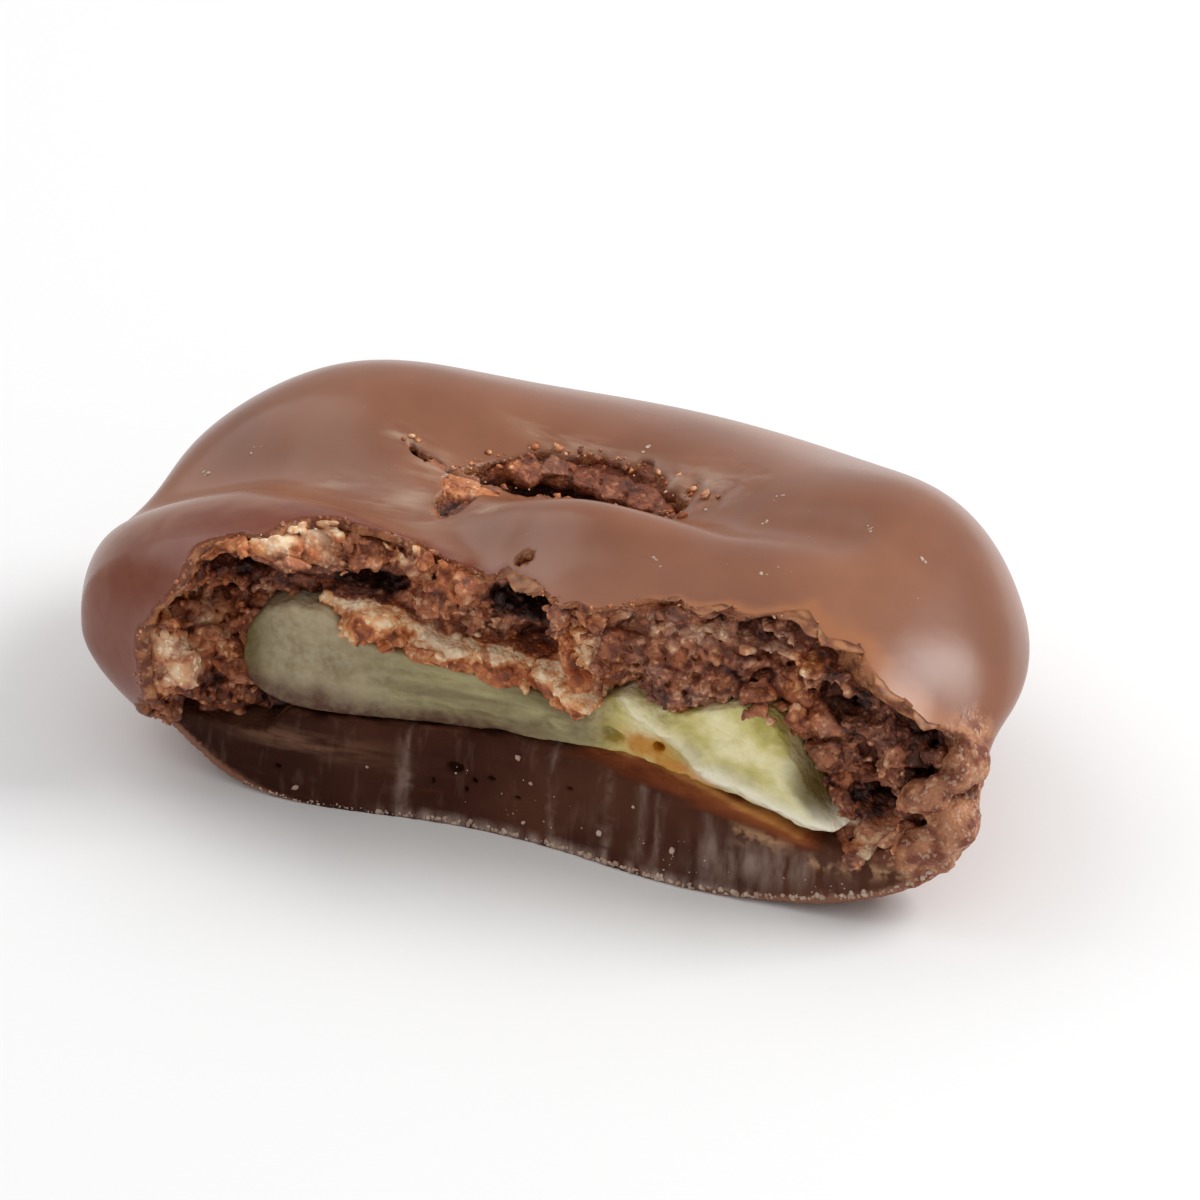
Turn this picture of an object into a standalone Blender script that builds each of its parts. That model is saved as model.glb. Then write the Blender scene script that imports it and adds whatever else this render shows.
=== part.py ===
"""A chocolate covered banana chip with its front bitten away, lying on its flat underside.

Metres, +Z up. The chip's length runs along X and the bitten face looks along -Y. The origin is
the middle of the underside of its bounding box. The three solids are the smooth milk chocolate
coating with its thick base, the crumbly aerated chocolate inside it, and the banana slice.
"""

import math

import bmesh
import bpy
from mathutils import Vector, noise

MM = 0.001

# The whole chip before the bite, in mm: middle, half sizes in plan, heights of its profile, and
# how far its underside is drawn in at the right end. The powers set how full the profile is, and
# the swells of the top fade out below the shoulder.
CENTRE_X = -0.4
CENTRE_Y = 3.6
HALF_LENGTH = 14.9
HALF_DEPTH = 12.6
MID_HEIGHT = 4.9
RISE = 4.5
SINK = 5.3
UNDERCUT = 1.2
UPPER_POWER = 2.5
LOWER_POWER = 3.3
SHOULDER = 0.75

# How the plan outline swells or draws in: direction and spread in degrees, and share of radius.
OUTLINE_LOBES = (
    (4, 30, 0.02),
    (50, 20, 0.03),
    (143, 24, 0.1),
    (169, 8, -0.02),
    (190, 14, 0.015),
)

# Swells and hollows of the upper surface: middle x and y, spread along x and y, and height.
TOP_SWELLS = (
    (8.5, 4.6, 5.0, 5.0, 0.8),
    (10.5, 9.5, 5.0, 4.0, 1.3),
    (-9.5, 10.0, 5.0, 4.0, 1.2),
    (-9.0, 0.6, 4.5, 2.6, 0.5),
    (0.4, 3.9, 3.4, 1.8, 0.9),
    (-1.5, 7.2, 5.0, 2.2, -1.5),
)

# Creases pressed into the upper surface: the points that each runs through, spread and depth.
CREASES = (
    (((-16.5, 4.0), (-10.5, 5.2), (-5.6, 3.9), (-2.4, 2.2), (-0.8, -1.0)), 1.7, 1.1),
    (((1.8, 7.4), (5.0, 5.8), (8.0, 6.0)), 1.4, 0.5),
)

# The fissure in the top: places along it in x and y, radius of each hollow and its depth, and
# the corners and step of the patch that it lies in. Its edge is where the depth passes a limit.
FISSURE = (
    (-6.9, 7.4, 0.6, 0.3),
    (-5.9, 6.9, 0.9, 0.6),
    (-5.2, 5.3, 1.1, 1.2),
    (-4.3, 6.6, 1.0, 1.3),
    (-3.0, 7.0, 1.3, 1.8),
    (-1.7, 7.2, 1.4, 2.0),
    (-0.4, 7.2, 1.4, 1.9),
    (0.9, 7.2, 1.3, 1.5),
    (2.2, 7.0, 1.1, 0.9),
)
FISSURE_LOW = (-9.0, 3.4)
FISSURE_HIGH = (4.5, 9.8)
FISSURE_STEP = 0.45
FISSURE_EDGE = 0.35
FISSURE_ROUGHNESS = 0.4

# Wall of the coating over the crumb and beside it, in mm.
COAT_TOP = 0.85
COAT_LEFT = 0.8
COAT_RIGHT = 1.4
GAP = 0.3
GAP_OVER_CRUMB = 0.45

# The thick base under the banana: its height at the left and right end and its rise between.
BASE_LEFT = 2.6
BASE_RIGHT = 1.95
BASE_RISE = 0.4
BASE_RISE_X = 1.5
BASE_RISE_SPREAD = 3.0
BASE_RIGHT_X = 9.0

# The banana slice: middle, half sizes in plan, thickness at its rim and its thin middle, in mm.
# Its outline has three faint lobes, and the powers set how square its edge is.
BANANA_X = 0.2
BANANA_Y = 2.4
BANANA_HALF_LENGTH = 10.2
BANANA_HALF_DEPTH = 9.0
BANANA_RIM = 3.3
BANANA_MIDDLE = 1.45
BANANA_LOBES = 0.03
BANANA_PLAN_POWER = 0.5
BANANA_EDGE_POWER = 0.6

# The bitten face: where it stands at the floor, how far it leans back with height, and the
# swells of its front edge as middle x, spread and amount. The coating is unbitten round its left
# end, by the horn, and its thin edge is torn, all in mm.
FACE_Y = 0.7
FACE_LEAN = 0.06
FACE_SWELLS = ((-7.9, 4.6, 0.9), (6.0, 4.8, 0.9), (11.0, 2.4, 0.5))
HORN = 2.4
HORN_FOOT = 0.35
HORN_START = -10.5
HORN_FULL = -14.0
HORN_SLANT = 0.5
TEAR = 0.45
TEAR_SCALE = (0.5, 0.3)

# How far the crumb and the banana stand back from the face, and how rough they are, in mm.
CRUMB_SET_BACK = 0.7
CRAG_HEIGHT = 0.55
CRAG_SCALE = 0.9
BANANA_SET_BACK = 0.25
BANANA_WAVE = 0.15
BANANA_WAVE_SCALE = (1.3, 0.6)

# Relief of the broken crumb: middle x and z, spread along x and z, and amount, where a plus
# stands forward and a minus is a pit or a hollow.
CRUMB_RELIEF = (
    (-0.3, 7.3, 1.3, 0.7, -2.6),
    (0.2, 6.0, 1.4, 0.8, -1.2),
    (-9.6, 6.9, 1.2, 0.8, -1.2),
    (-5.6, 7.4, 1.4, 0.7, -1.3),
    (7.0, 8.4, 0.9, 0.6, -1.1),
    (10.5, 6.5, 0.9, 0.8, -1.2),
    (11.3, 3.3, 0.6, 0.7, -0.9),
    (13.0, 5.9, 0.6, 0.8, -0.7),
    (3.9, 7.2, 1.3, 1.6, 1.2),
    (-11.6, 4.0, 0.7, 0.8, 0.8),
)

# The ledge of crumb over the banana's upper edge: its ends in x and z, half height and reach.
LEDGE = ((-8.0, 6.5), (-4.0, 5.5), (2.4, 4.7))
LEDGE_SPREAD = 0.5
LEDGE_REACH = 1.3

# Cutters reach this far past what they cut, in mm, and have these steps across their rough sides.
CUTTER_MARGIN = 3.0
CUTTER_TOP = 20.0
CUTTER_FRONT = -20.0
ROUGH_STEP = 0.42
TORN_STEP = 0.7

# Icosphere divisions of the finer and the coarser rounded forms.
FINE = 5
COARSE = 4


def bell(offset, spread):
    """1 at the middle of a swell, falling smoothly to 0 away from it."""
    return math.exp(-((offset / spread) ** 2))


def smooth_step(low, high, value):
    share = min(1.0, max(0.0, (value - low) / (high - low)))
    return share * share * (3 - 2 * share)


def rough(x, y, z):
    """Even roughness from -1 to 1, with finer bumps on the coarse ones."""
    return noise.fractal(Vector((x, y, z)), 0.6, 2.1, 4)


def outline(angle):
    """The plan radius in this direction, as a share of the plain ellipse's."""
    share = 1.0
    for direction, spread, amount in OUTLINE_LOBES:
        turn = (math.degrees(angle) - direction + 180) % 360 - 180
        share += amount * bell(turn, spread)
    return share


def distance_to(points, x, y):
    """How far this place is from a line through these points, in plan or in the bitten face."""
    nearest = math.inf
    for (x0, y0), (x1, y1) in zip(points, points[1:]):
        along = ((x - x0) * (x1 - x0) + (y - y0) * (y1 - y0)) / math.dist((x0, y0), (x1, y1)) ** 2
        along = min(1.0, max(0.0, along))
        nearest = min(nearest, math.dist((x, y), (x0 + along * (x1 - x0), y0 + along * (y1 - y0))))
    return nearest


def top_swell(x, y):
    """How far the upper surface swells or sinks here from its plain rounded form."""
    rise = sum(
        height * bell(x - mid_x, spread_x) * bell(y - mid_y, spread_y)
        for mid_x, mid_y, spread_x, spread_y, height in TOP_SWELLS
    )
    for points, spread, depth in CREASES:
        rise -= depth * bell(distance_to(points, x, y), spread)
    return rise


def base_top(x):
    """Height of the thick base's upper side, which drops towards the chip's right end."""
    fall = (BASE_RIGHT - BASE_LEFT) * smooth_step(BASE_RISE_X, BASE_RIGHT_X, x)
    return BASE_LEFT + fall + BASE_RISE * bell(x - BASE_RISE_X, BASE_RISE_SPREAD)


def coating_point(unit):
    return pillow_point(unit, 0, 0, lambda x: 0)


def cavity_point(unit):
    return pillow_point(unit, 1 - GAP, COAT_TOP - GAP_OVER_CRUMB, lambda x: base_top(x) - GAP)


def crumb_point(unit):
    return pillow_point(unit, 1, COAT_TOP, base_top)


def pillow_point(unit, side_wall, top_wall, floor):
    """A point of the unit sphere moved to the chip's rounded form, drawn in by the walls.

    The side wall is a share of the coating's own, and the floor gives the least height at x.
    """
    angle = math.atan2(unit.y, unit.x)
    latitude = math.atan2(unit.z, math.hypot(unit.x, unit.y))
    power = UPPER_POWER if unit.z > 0 else LOWER_POWER
    side_wall *= COAT_LEFT + (COAT_RIGHT - COAT_LEFT) * (1 + math.cos(angle)) / 2
    reach = abs(math.cos(latitude)) ** (2 / power)
    level = math.copysign(abs(math.sin(latitude)) ** (2 / power), latitude)
    scale = outline(angle)
    x = (HALF_LENGTH * scale - side_wall) * reach * math.cos(angle) + CENTRE_X
    x -= UNDERCUT * smooth_step(0, SHOULDER, -level) * max(0.0, math.cos(angle)) * reach
    y = (HALF_DEPTH * scale - side_wall) * reach * math.sin(angle) + CENTRE_Y
    if level > 0:
        height = MID_HEIGHT + level * (RISE - top_wall)
    else:
        height = MID_HEIGHT + level * SINK
    height += top_swell(x, y) * smooth_step(0, SHOULDER, level)
    return Vector((x, y, max(height, floor(x))))


def make_object(name, bm, collection):
    for v in bm.verts:
        v.co *= MM
    bmesh.ops.recalc_face_normals(bm, faces=bm.faces[:])
    mesh = bpy.data.meshes.new(name)
    bm.to_mesh(mesh)
    bm.free()
    obj = bpy.data.objects.new(name, mesh)
    collection.objects.link(obj)
    return obj


def make_rounded(name, fineness, placed, collection):
    """A closed form whose points are a sphere's, each moved by the function placed."""
    bm = bmesh.new()
    bmesh.ops.create_icosphere(bm, subdivisions=fineness, radius=1.0)
    for v in bm.verts:
        v.co = placed(v.co.copy())
    obj = make_object(name, bm, collection)
    obj.data.polygons.foreach_set("use_smooth", [True] * len(obj.data.polygons))
    return obj


def banana_point(unit, grow):
    """A point of the unit sphere moved to the banana slice, whose middle is thinner than its rim."""
    angle = math.atan2(unit.y, unit.x)
    latitude = math.atan2(unit.z, math.hypot(unit.x, unit.y))
    reach = abs(math.cos(latitude)) ** BANANA_PLAN_POWER
    level = abs(math.sin(latitude)) ** BANANA_EDGE_POWER
    scale = 1 + BANANA_LOBES * math.cos(3 * angle + 0.7)
    x = (BANANA_HALF_LENGTH * scale + grow) * reach * math.cos(angle)
    y = (BANANA_HALF_DEPTH * scale + grow) * reach * math.sin(angle)
    thickness = BANANA_MIDDLE + (BANANA_RIM - BANANA_MIDDLE) * smooth_step(0.2, 0.8, reach)
    middle = base_top(x + BANANA_X) + thickness / 2
    half = thickness / 2 + grow
    return Vector((x + BANANA_X, y + BANANA_Y, middle + math.copysign(level * half, unit.z)))


def face_line(x, z):
    """How far back the plain bitten face stands at this place."""
    y = FACE_Y + FACE_LEAN * z
    for mid_x, spread, amount in FACE_SWELLS:
        y -= amount * bell(x - mid_x, spread)
    return y


def coating_face(x, z):
    """Smooth over the thick base, torn unevenly above it, and unbitten round the left end."""
    torn = smooth_step(BASE_LEFT, MID_HEIGHT, z)
    tear = TEAR * rough(x * TEAR_SCALE[0], 2.0, z * TEAR_SCALE[1])
    horn = HORN * smooth_step(HORN_START, HORN_FULL, x - HORN_SLANT * (z - MID_HEIGHT))
    return face_line(x, z) + torn * tear - (HORN_FOOT + (1 - HORN_FOOT) * torn) * horn


def crumb_face(x, z):
    """The broken crumb stands back from the coating, with pits, a block and a ledge, all rough."""
    relief = sum(
        amount * bell(x - mid_x, spread_x) * bell(z - mid_z, spread_z)
        for mid_x, mid_z, spread_x, spread_z, amount in CRUMB_RELIEF
    )
    relief += LEDGE_REACH * bell(distance_to(LEDGE, x, z), LEDGE_SPREAD)
    crags = CRAG_HEIGHT * rough(x * CRAG_SCALE, 0.0, z * CRAG_SCALE)
    return face_line(x, z) + CRUMB_SET_BACK + crags - relief


def banana_face(x, z):
    waves = BANANA_WAVE * rough(x * BANANA_WAVE_SCALE[0], 4.0, z * BANANA_WAVE_SCALE[1])
    return face_line(x, z) + BANANA_SET_BACK + waves


def top_height(x, y):
    """Height of the coating's upper surface over this place, found from its rounded form."""
    angle = math.atan2((y - CENTRE_Y) / HALF_DEPTH, (x - CENTRE_X) / HALF_LENGTH)
    across = math.hypot((y - CENTRE_Y) / HALF_DEPTH, (x - CENTRE_X) / HALF_LENGTH) / outline(angle)
    level = (1 - min(1.0, across) ** UPPER_POWER) ** (1 / UPPER_POWER)
    return MID_HEIGHT + level * RISE + top_swell(x, y) * smooth_step(0, SHOULDER, level)


def fissure_depth(x, y):
    """How deep the fissure is here under the plain upper surface; below 0 outside it."""
    deepest = max(
        depth * bell(math.dist((x, y), (mid_x, mid_y)), radius) for mid_x, mid_y, radius, depth in FISSURE
    )
    crags = FISSURE_ROUGHNESS * rough(x * CRAG_SCALE, y * CRAG_SCALE, 5.0)
    return deepest - FISSURE_EDGE + crags * smooth_step(0, 2 * FISSURE_EDGE, deepest)


def make_fissure_cutter(name, collection):
    """A block over the top of the chip whose rough underside is the floor of the fissure."""
    across = round((FISSURE_HIGH[0] - FISSURE_LOW[0]) / FISSURE_STEP)
    along = round((FISSURE_HIGH[1] - FISSURE_LOW[1]) / FISSURE_STEP)
    bm = bmesh.new()
    bmesh.ops.create_grid(bm, x_segments=across, y_segments=along, size=1.0)
    for v in bm.verts:
        x = FISSURE_LOW[0] + (v.co.x + 1) / 2 * (FISSURE_HIGH[0] - FISSURE_LOW[0])
        y = FISSURE_LOW[1] + (v.co.y + 1) / 2 * (FISSURE_HIGH[1] - FISSURE_LOW[1])
        v.co = Vector((x, y, top_height(x, y) - fissure_depth(x, y)))
    made = bmesh.ops.extrude_face_region(bm, geom=bm.faces[:])
    for v in made["geom"]:
        if isinstance(v, bmesh.types.BMVert):
            v.co.z = CUTTER_TOP
    return hide(make_object(name, bm, collection))


def make_bite_cutter(name, face, step, collection):
    """A block whose back is the bitten face, and which takes away all that lies in front of it."""
    half_width = HALF_LENGTH + CUTTER_MARGIN
    low, high = -CUTTER_MARGIN, MID_HEIGHT + RISE + CUTTER_MARGIN
    across = round(2 * half_width / step)
    up = round((high - low) / step)
    bm = bmesh.new()
    bmesh.ops.create_grid(bm, x_segments=across, y_segments=up, size=1.0)
    for v in bm.verts:
        x = v.co.x * half_width
        z = low + (v.co.y + 1) / 2 * (high - low)
        v.co = Vector((x, face(x, z), z))
    made = bmesh.ops.extrude_face_region(bm, geom=bm.faces[:])
    for v in made["geom"]:
        if isinstance(v, bmesh.types.BMVert):
            v.co.y = CUTTER_FRONT
    return hide(make_object(name, bm, collection))


def hide(cutter):
    cutter.hide_render = True
    cutter.display_type = "WIRE"
    return cutter


def cut(target, cutter):
    modifier = target.modifiers.new("cut_" + cutter.name, "BOOLEAN")
    modifier.operation = "DIFFERENCE"
    modifier.solver = "EXACT"
    modifier.object = cutter


def material(name, colour, roughness):
    made = bpy.data.materials.new(name)
    made.use_nodes = True
    shader = made.node_tree.nodes["Principled BSDF"]
    shader.inputs["Base Color"].default_value = (*colour, 1)
    shader.inputs["Roughness"].default_value = roughness
    return made


def new_collection(name):
    collection = bpy.data.collections.new(name)
    bpy.context.scene.collection.children.link(collection)
    return collection


def stand_on_origin(objects):
    """Moves all of them alike, so that the middle of the box's underside is the origin."""
    bpy.context.view_layer.update()
    graph = bpy.context.evaluated_depsgraph_get()
    corners = [Vector(c) for obj in objects for c in obj.evaluated_get(graph).bound_box]
    low = Vector([min(c[axis] for c in corners) for axis in range(3)])
    high = Vector([max(c[axis] for c in corners) for axis in range(3)])
    middle = Vector(((low.x + high.x) / 2, (low.y + high.y) / 2, low.z))
    for obj in bpy.data.objects:
        obj.location -= middle


def main():
    for obj in list(bpy.data.objects):
        bpy.data.objects.remove(obj)
    parts = new_collection("banana_chip")
    cutters = new_collection("cutters")
    cutters.hide_render = True

    coating = make_rounded("milk_chocolate_coating", FINE, coating_point, parts)
    crumb = make_rounded("crumbly_chocolate", COARSE, crumb_point, parts)
    banana = make_rounded("banana_slice", COARSE, lambda unit: banana_point(unit, 0), parts)
    cavity = hide(make_rounded("cavity", FINE, cavity_point, cutters))
    banana_room = hide(make_rounded("banana_room", COARSE, lambda unit: banana_point(unit, GAP), cutters))
    fissure = make_fissure_cutter("fissure", cutters)
    cut(coating, cavity)
    cut(coating, make_bite_cutter("coating_bite", coating_face, TORN_STEP, cutters))
    cut(coating, fissure)
    cut(crumb, fissure)
    cut(crumb, banana_room)
    cut(crumb, make_bite_cutter("crumb_bite", crumb_face, ROUGH_STEP, cutters))
    cut(banana, make_bite_cutter("banana_bite", banana_face, TORN_STEP, cutters))

    coating.data.materials.append(material("milk_chocolate", (0.26, 0.12, 0.08), 0.35))
    crumb.data.materials.append(material("crumbly_chocolate", (0.12, 0.05, 0.03), 0.7))
    banana.data.materials.append(material("banana", (0.55, 0.48, 0.22), 0.5))
    stand_on_origin([coating, crumb, banana])


main()
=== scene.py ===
import math

import bmesh
import bpy
import numpy as np
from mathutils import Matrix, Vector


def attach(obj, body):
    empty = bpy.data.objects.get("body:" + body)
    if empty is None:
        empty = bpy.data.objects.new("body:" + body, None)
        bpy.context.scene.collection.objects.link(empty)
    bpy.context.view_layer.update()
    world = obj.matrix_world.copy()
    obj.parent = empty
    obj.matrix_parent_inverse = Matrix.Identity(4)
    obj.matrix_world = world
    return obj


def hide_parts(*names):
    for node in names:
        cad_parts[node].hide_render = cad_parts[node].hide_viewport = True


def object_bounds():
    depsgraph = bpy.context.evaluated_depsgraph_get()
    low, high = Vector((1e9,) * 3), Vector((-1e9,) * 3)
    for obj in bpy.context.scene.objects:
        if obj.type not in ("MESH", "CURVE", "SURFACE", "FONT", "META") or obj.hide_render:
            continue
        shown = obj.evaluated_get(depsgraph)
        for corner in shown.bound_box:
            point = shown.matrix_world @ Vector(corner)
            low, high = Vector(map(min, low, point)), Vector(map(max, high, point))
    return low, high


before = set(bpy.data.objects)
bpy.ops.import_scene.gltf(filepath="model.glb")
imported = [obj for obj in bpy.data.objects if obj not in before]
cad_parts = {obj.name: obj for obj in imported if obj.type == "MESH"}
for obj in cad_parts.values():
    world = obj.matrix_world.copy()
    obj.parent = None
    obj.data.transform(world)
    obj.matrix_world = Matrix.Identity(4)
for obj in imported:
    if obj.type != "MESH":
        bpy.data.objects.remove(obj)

import openvdb
from mathutils import Vector

CAD_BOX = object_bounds()

# The shapes below are worked out in chip millimetres: X along the chip's length, -Y out of the
# bitten face, Z up from the floor. This moves them to the frame, which is in metres.
MM = 0.001
SHIFT = np.array((0.367, -7.214, 0.0))

# The whole chip before the bite: middle, half sizes in plan, heights of its profile, and how far
# its underside is drawn in at the right end. The swells of the top fade out below the shoulder.
CENTRE = (-0.4, 3.6)
HALF_LENGTH = 14.9
HALF_DEPTH = 12.6
MID_HEIGHT = 4.9
RISE = 4.5
SINK = 5.3
UNDERCUT = 1.2
UPPER_POWER = 2.5
LOWER_POWER = 3.3
SHOULDER = 0.75
EDGE_ROUNDING = 0.5

# How the plan outline swells or draws in: direction and spread in degrees, and share of radius.
OUTLINE_LOBES = (
    (4, 30, 0.02),
    (50, 20, 0.03),
    (143, 24, 0.1),
    (169, 8, -0.02),
    (190, 14, 0.015),
)

# Swells and hollows of the upper surface: middle x and y, spread along x and y, and height.
TOP_SWELLS = (
    (8.5, 4.6, 5.0, 5.0, 0.8),
    (10.5, 9.5, 5.0, 4.0, 1.3),
    (-9.5, 10.0, 5.0, 4.0, 1.2),
    (-9.0, 0.6, 4.5, 2.6, 0.5),
    (0.4, 3.9, 3.4, 1.8, 0.9),
    (-1.5, 7.2, 5.0, 2.2, -1.5),
)

# Creases pressed into the upper surface: the points that each runs through, spread and depth.
CREASES = (
    (((-16.5, 4.0), (-10.5, 5.2), (-5.6, 3.9), (-2.4, 2.2), (-0.8, -1.0)), 1.7, 1.1),
    (((1.8, 7.4), (5.0, 5.8), (8.0, 6.0)), 1.4, 0.5),
)

# The coating's wall over the crumb and at its left and right ends, and the thick base: height of
# its upper side at points along the bitten face.
WALL_TOP = 0.42
WALL_LEFT = 0.4
WALL_RIGHT = 1.35
BASE_TOP = (
    (-15, 2.2), (-12.3, 2.0), (-10.4, 1.95), (-8.6, 2.1), (-7.8, 2.9), (-4.0, 2.98), (-0.4, 3.15),
    (2.3, 3.5), (3.8, 3.65), (5.6, 3.45), (7.3, 3.05), (8.3, 2.78), (9.3, 2.5), (10.4, 2.35),
    (11.2, 2.1), (13.5, 1.8),
)

# The bitten face, as in the solids: where it stands at the floor, how far it leans back with
# height, and the swells of its edge as middle x, spread and amount.
FACE_Y = 0.7
FACE_LEAN = 0.06
FACE_SWELLS = ((-7.9, 4.6, 0.9), (6.0, 4.8, 0.9), (11.0, 2.4, 0.5))

# Where the torn rim of the coating stands: its direction from the middle of the face, in degrees
# from the right end over the top to the left end, and its y. The base's face has its own line.
RIM_MIDDLE = 4.5
RIM_FRONT = (
    (-40, 0.4), (-20, 0.6), (-8, 0.9), (2, 1.5), (7.4, 1.65), (8.5, 1.1), (11, 0.63), (15, 0.47),
    (18, 0.57), (22, 1.2), (25, 0.93), (29.3, 1.6), (33, 0.76), (38.4, 0.9), (41, 0.48), (45.4, 0.72),
    (51, 0.39), (55.7, -0.18), (60, -0.47), (66.8, -0.34), (71, -0.6), (76, -0.2), (83, 0.3), (90, 0.7),
    (97.5, 1.1), (106, 1.55), (114, 1.42), (121, 1.6), (126, 1.63), (132, 1.74), (136.5, 1.86),
    (138.5, 1.54), (141.7, 1.36), (145, 1.23), (147.6, 0.77), (151, -0.23), (155.2, -0.31),
    (157.4, -0.47), (159.6, -0.93), (162.4, -1.6), (164.6, -1.9), (168, -2.0), (182, -1.95),
    (186, -1.55), (190, -1.0), (197, -0.4), (205, 0.0), (225, 0.2),
)

# How far behind the torn rim the skin is tinted orange-brown by the crumb, and beside the bite at
# the left painted dark red-brown as shade, by the same directions.
RIM_STAIN_AND_SHADE = (
    (-30, 0.4), (0, 0.5), (8, 1.2), (20, 1.3), (30, 0.9), (45, 0.4), (75, 0.3), (115, 0.35), (125, 0.7),
    (140, 1.1), (150, 2.2), (165, 3.6), (180, 3.2), (200, 1.6),
)

# How far the base's cut stands out of the bitten face, and how much more at its foot. At its left
# end, from this x on, the cut runs out to the front.
BASE_PROUD = 0.12
BASE_FOOT = 0.22
BASE_END_X = (-12.0, -13.4)
BASE_END_REACH = 3.0

# How far the left end is drawn in where it was bitten, and where that starts and ends.
PINCH = 2.1
PINCH_Y = (-0.2, -2.5)
PINCH_X = (-8.0, -12.5)

# How far the underside is drawn in at the left end, near the bite, and where that starts and ends.
TUCK = 2.3
TUCK_X = (-7, -13)
TUCK_Y = (5, 0)

# At the right end a waist is drawn in over a foot that stands out, and a rounded lump swells over
# the rim: its middle, radius and height.
RIGHT_END_X = (7.0, 13.0)
WAIST = 1.1
WAIST_Z = (6.2, 4.2)
WAIST_FRONT_Y = (1.5, 4.2)
WAIST_BACK_Y = (10.5, 7.5)
FOOT = 0.15
FOOT_Y = (3.6, 1.6)
LUMP = ((13.6, 2.0, 7.2), 1.6, -0.02)

# The fissure in the top: its front and back lip in x and y, and its depth along x. Pits open from
# it, given by middle and half sizes, and the round pit at its left end has a middle and radius.
FISSURE_FRONT = ((-5.1, 6.75), (-3.5, 6.8), (-2.5, 7.35), (-1.0, 7.45), (1.2, 7.65), (2.5, 7.85))
FISSURE_BACK = ((-5.1, 6.8), (-4.4, 7.8), (-3.2, 8.9), (-0.9, 9.3), (1.1, 8.9), (2.5, 7.9))
FISSURE_DEPTH = ((-5.1, 0.3), (-4.2, 1.1), (-3.2, 1.8), (-0.6, 1.8), (0.8, 1.3), (1.9, 0.7), (2.5, 0.2))
FISSURE_PITS = (
    ((-4.35, 5.0, 8.75), (0.7, 0.85, 0.75)),
    ((-4.2, 6.15, 8.6), (1.0, 0.7, 0.6)),
    ((-0.7, 1.9, 8.95), (0.27, 0.2, 0.6)),
    ((0.3, 9.3, 8.6), (0.22, 0.2, 0.3)),
)
PIT_MIDDLE = (-4.2, 5.5)
PIT_RADIUS = 1.2

# How much deeper the fissure is in the coating than the crumb that shows in it.
FISSURE_EXTRA = 0.3

# The fine crack that leads to the fissure: its points in x and y, half width and depth.
FISSURE_CRACK = ((-6.7, 7.0), (-6.4, 6.8), (-5.7, 6.75), (-5.0, 6.5))
CRACK_HALF = 0.12
CRACK_DEPTH = 0.4

# Lumps of crumb that stand up in the fissure: middle and half sizes.
FISSURE_LUMPS = (
    ((-4.6, 6.4, 8.3), (0.4, 0.32, 0.42)),
    ((-3.95, 6.2, 8.25), (0.5, 0.4, 0.5)),
    ((-3.3, 6.3, 8.25), (0.38, 0.35, 0.42)),
    ((-3.85, 4.55, 8.3), (0.5, 0.42, 0.45)),
    ((-3.4, 8.3, 8.05), (0.7, 0.6, 0.5)),
    ((-2.4, 8.8, 8.0), (0.6, 0.55, 0.5)),
    ((-1.4, 8.8, 7.95), (0.7, 0.55, 0.5)),
    ((-0.4, 8.6, 7.9), (0.7, 0.6, 0.5)),
    ((0.6, 8.4, 7.85), (0.6, 0.55, 0.45)),
    ((1.5, 8.15, 7.8), (0.45, 0.4, 0.35)),
)

# Pores in the cut face of the base: x, z and half width and height.
BASE_PORES = (
    (-2.4, 1.9, 0.27, 0.2),
    (-1.75, 1.55, 0.11, 0.09),
    (-1.2, 1.75, 0.13, 0.1),
    (-2.0, 1.2, 0.1, 0.08),
    (-3.1, 1.3, 0.09, 0.1),
    (-0.3, 1.3, 0.11, 0.08),
    (1.5, 2.1, 0.1, 0.08),
    (-8.1, 1.0, 0.11, 0.08),
)
PORE_DEPTH = 0.45

# The broken end of the coating at the right, and its lumps and pits: middle and half sizes.
COLUMN_X = (12.3, 13.2)
COLUMN_Y = (3.2, 1.9)
COLUMN_Z = (6.9, 6.1)
COLUMN_LUMPS = (
    ((14.0, 1.6, 5.2), (0.7, 0.8, 0.75)),
    ((13.1, 0.9, 4.3), (0.75, 0.7, 0.6)),
    ((13.9, 1.2, 3.3), (0.85, 0.9, 0.75)),
    ((13.1, 0.6, 2.6), (0.8, 0.7, 0.6)),
    ((12.4, 0.5, 2.0), (0.7, 0.6, 0.45)),
)
COLUMN_PITS = (
    ((14.45, 0.7, 6.5), (0.32, 0.7, 0.55)),
    ((13.75, 0.6, 5.4), (0.45, 0.6, 0.35)),
)

# The bumpy skin behind the right end of the fissure: middle in x and y, and spreads.
GRAINY = (2.4, 8.7, 1.7, 0.9)

# How far edges are rounded where forms of the coating meet.
SHELL_EDGE = 0.3
TORN_EDGE = 0.1
FISSURE_EDGE = 0.06
PORE_EDGE = 0.05
LUMP_EDGE = 0.35
PIT_EDGE = 0.15
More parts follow.
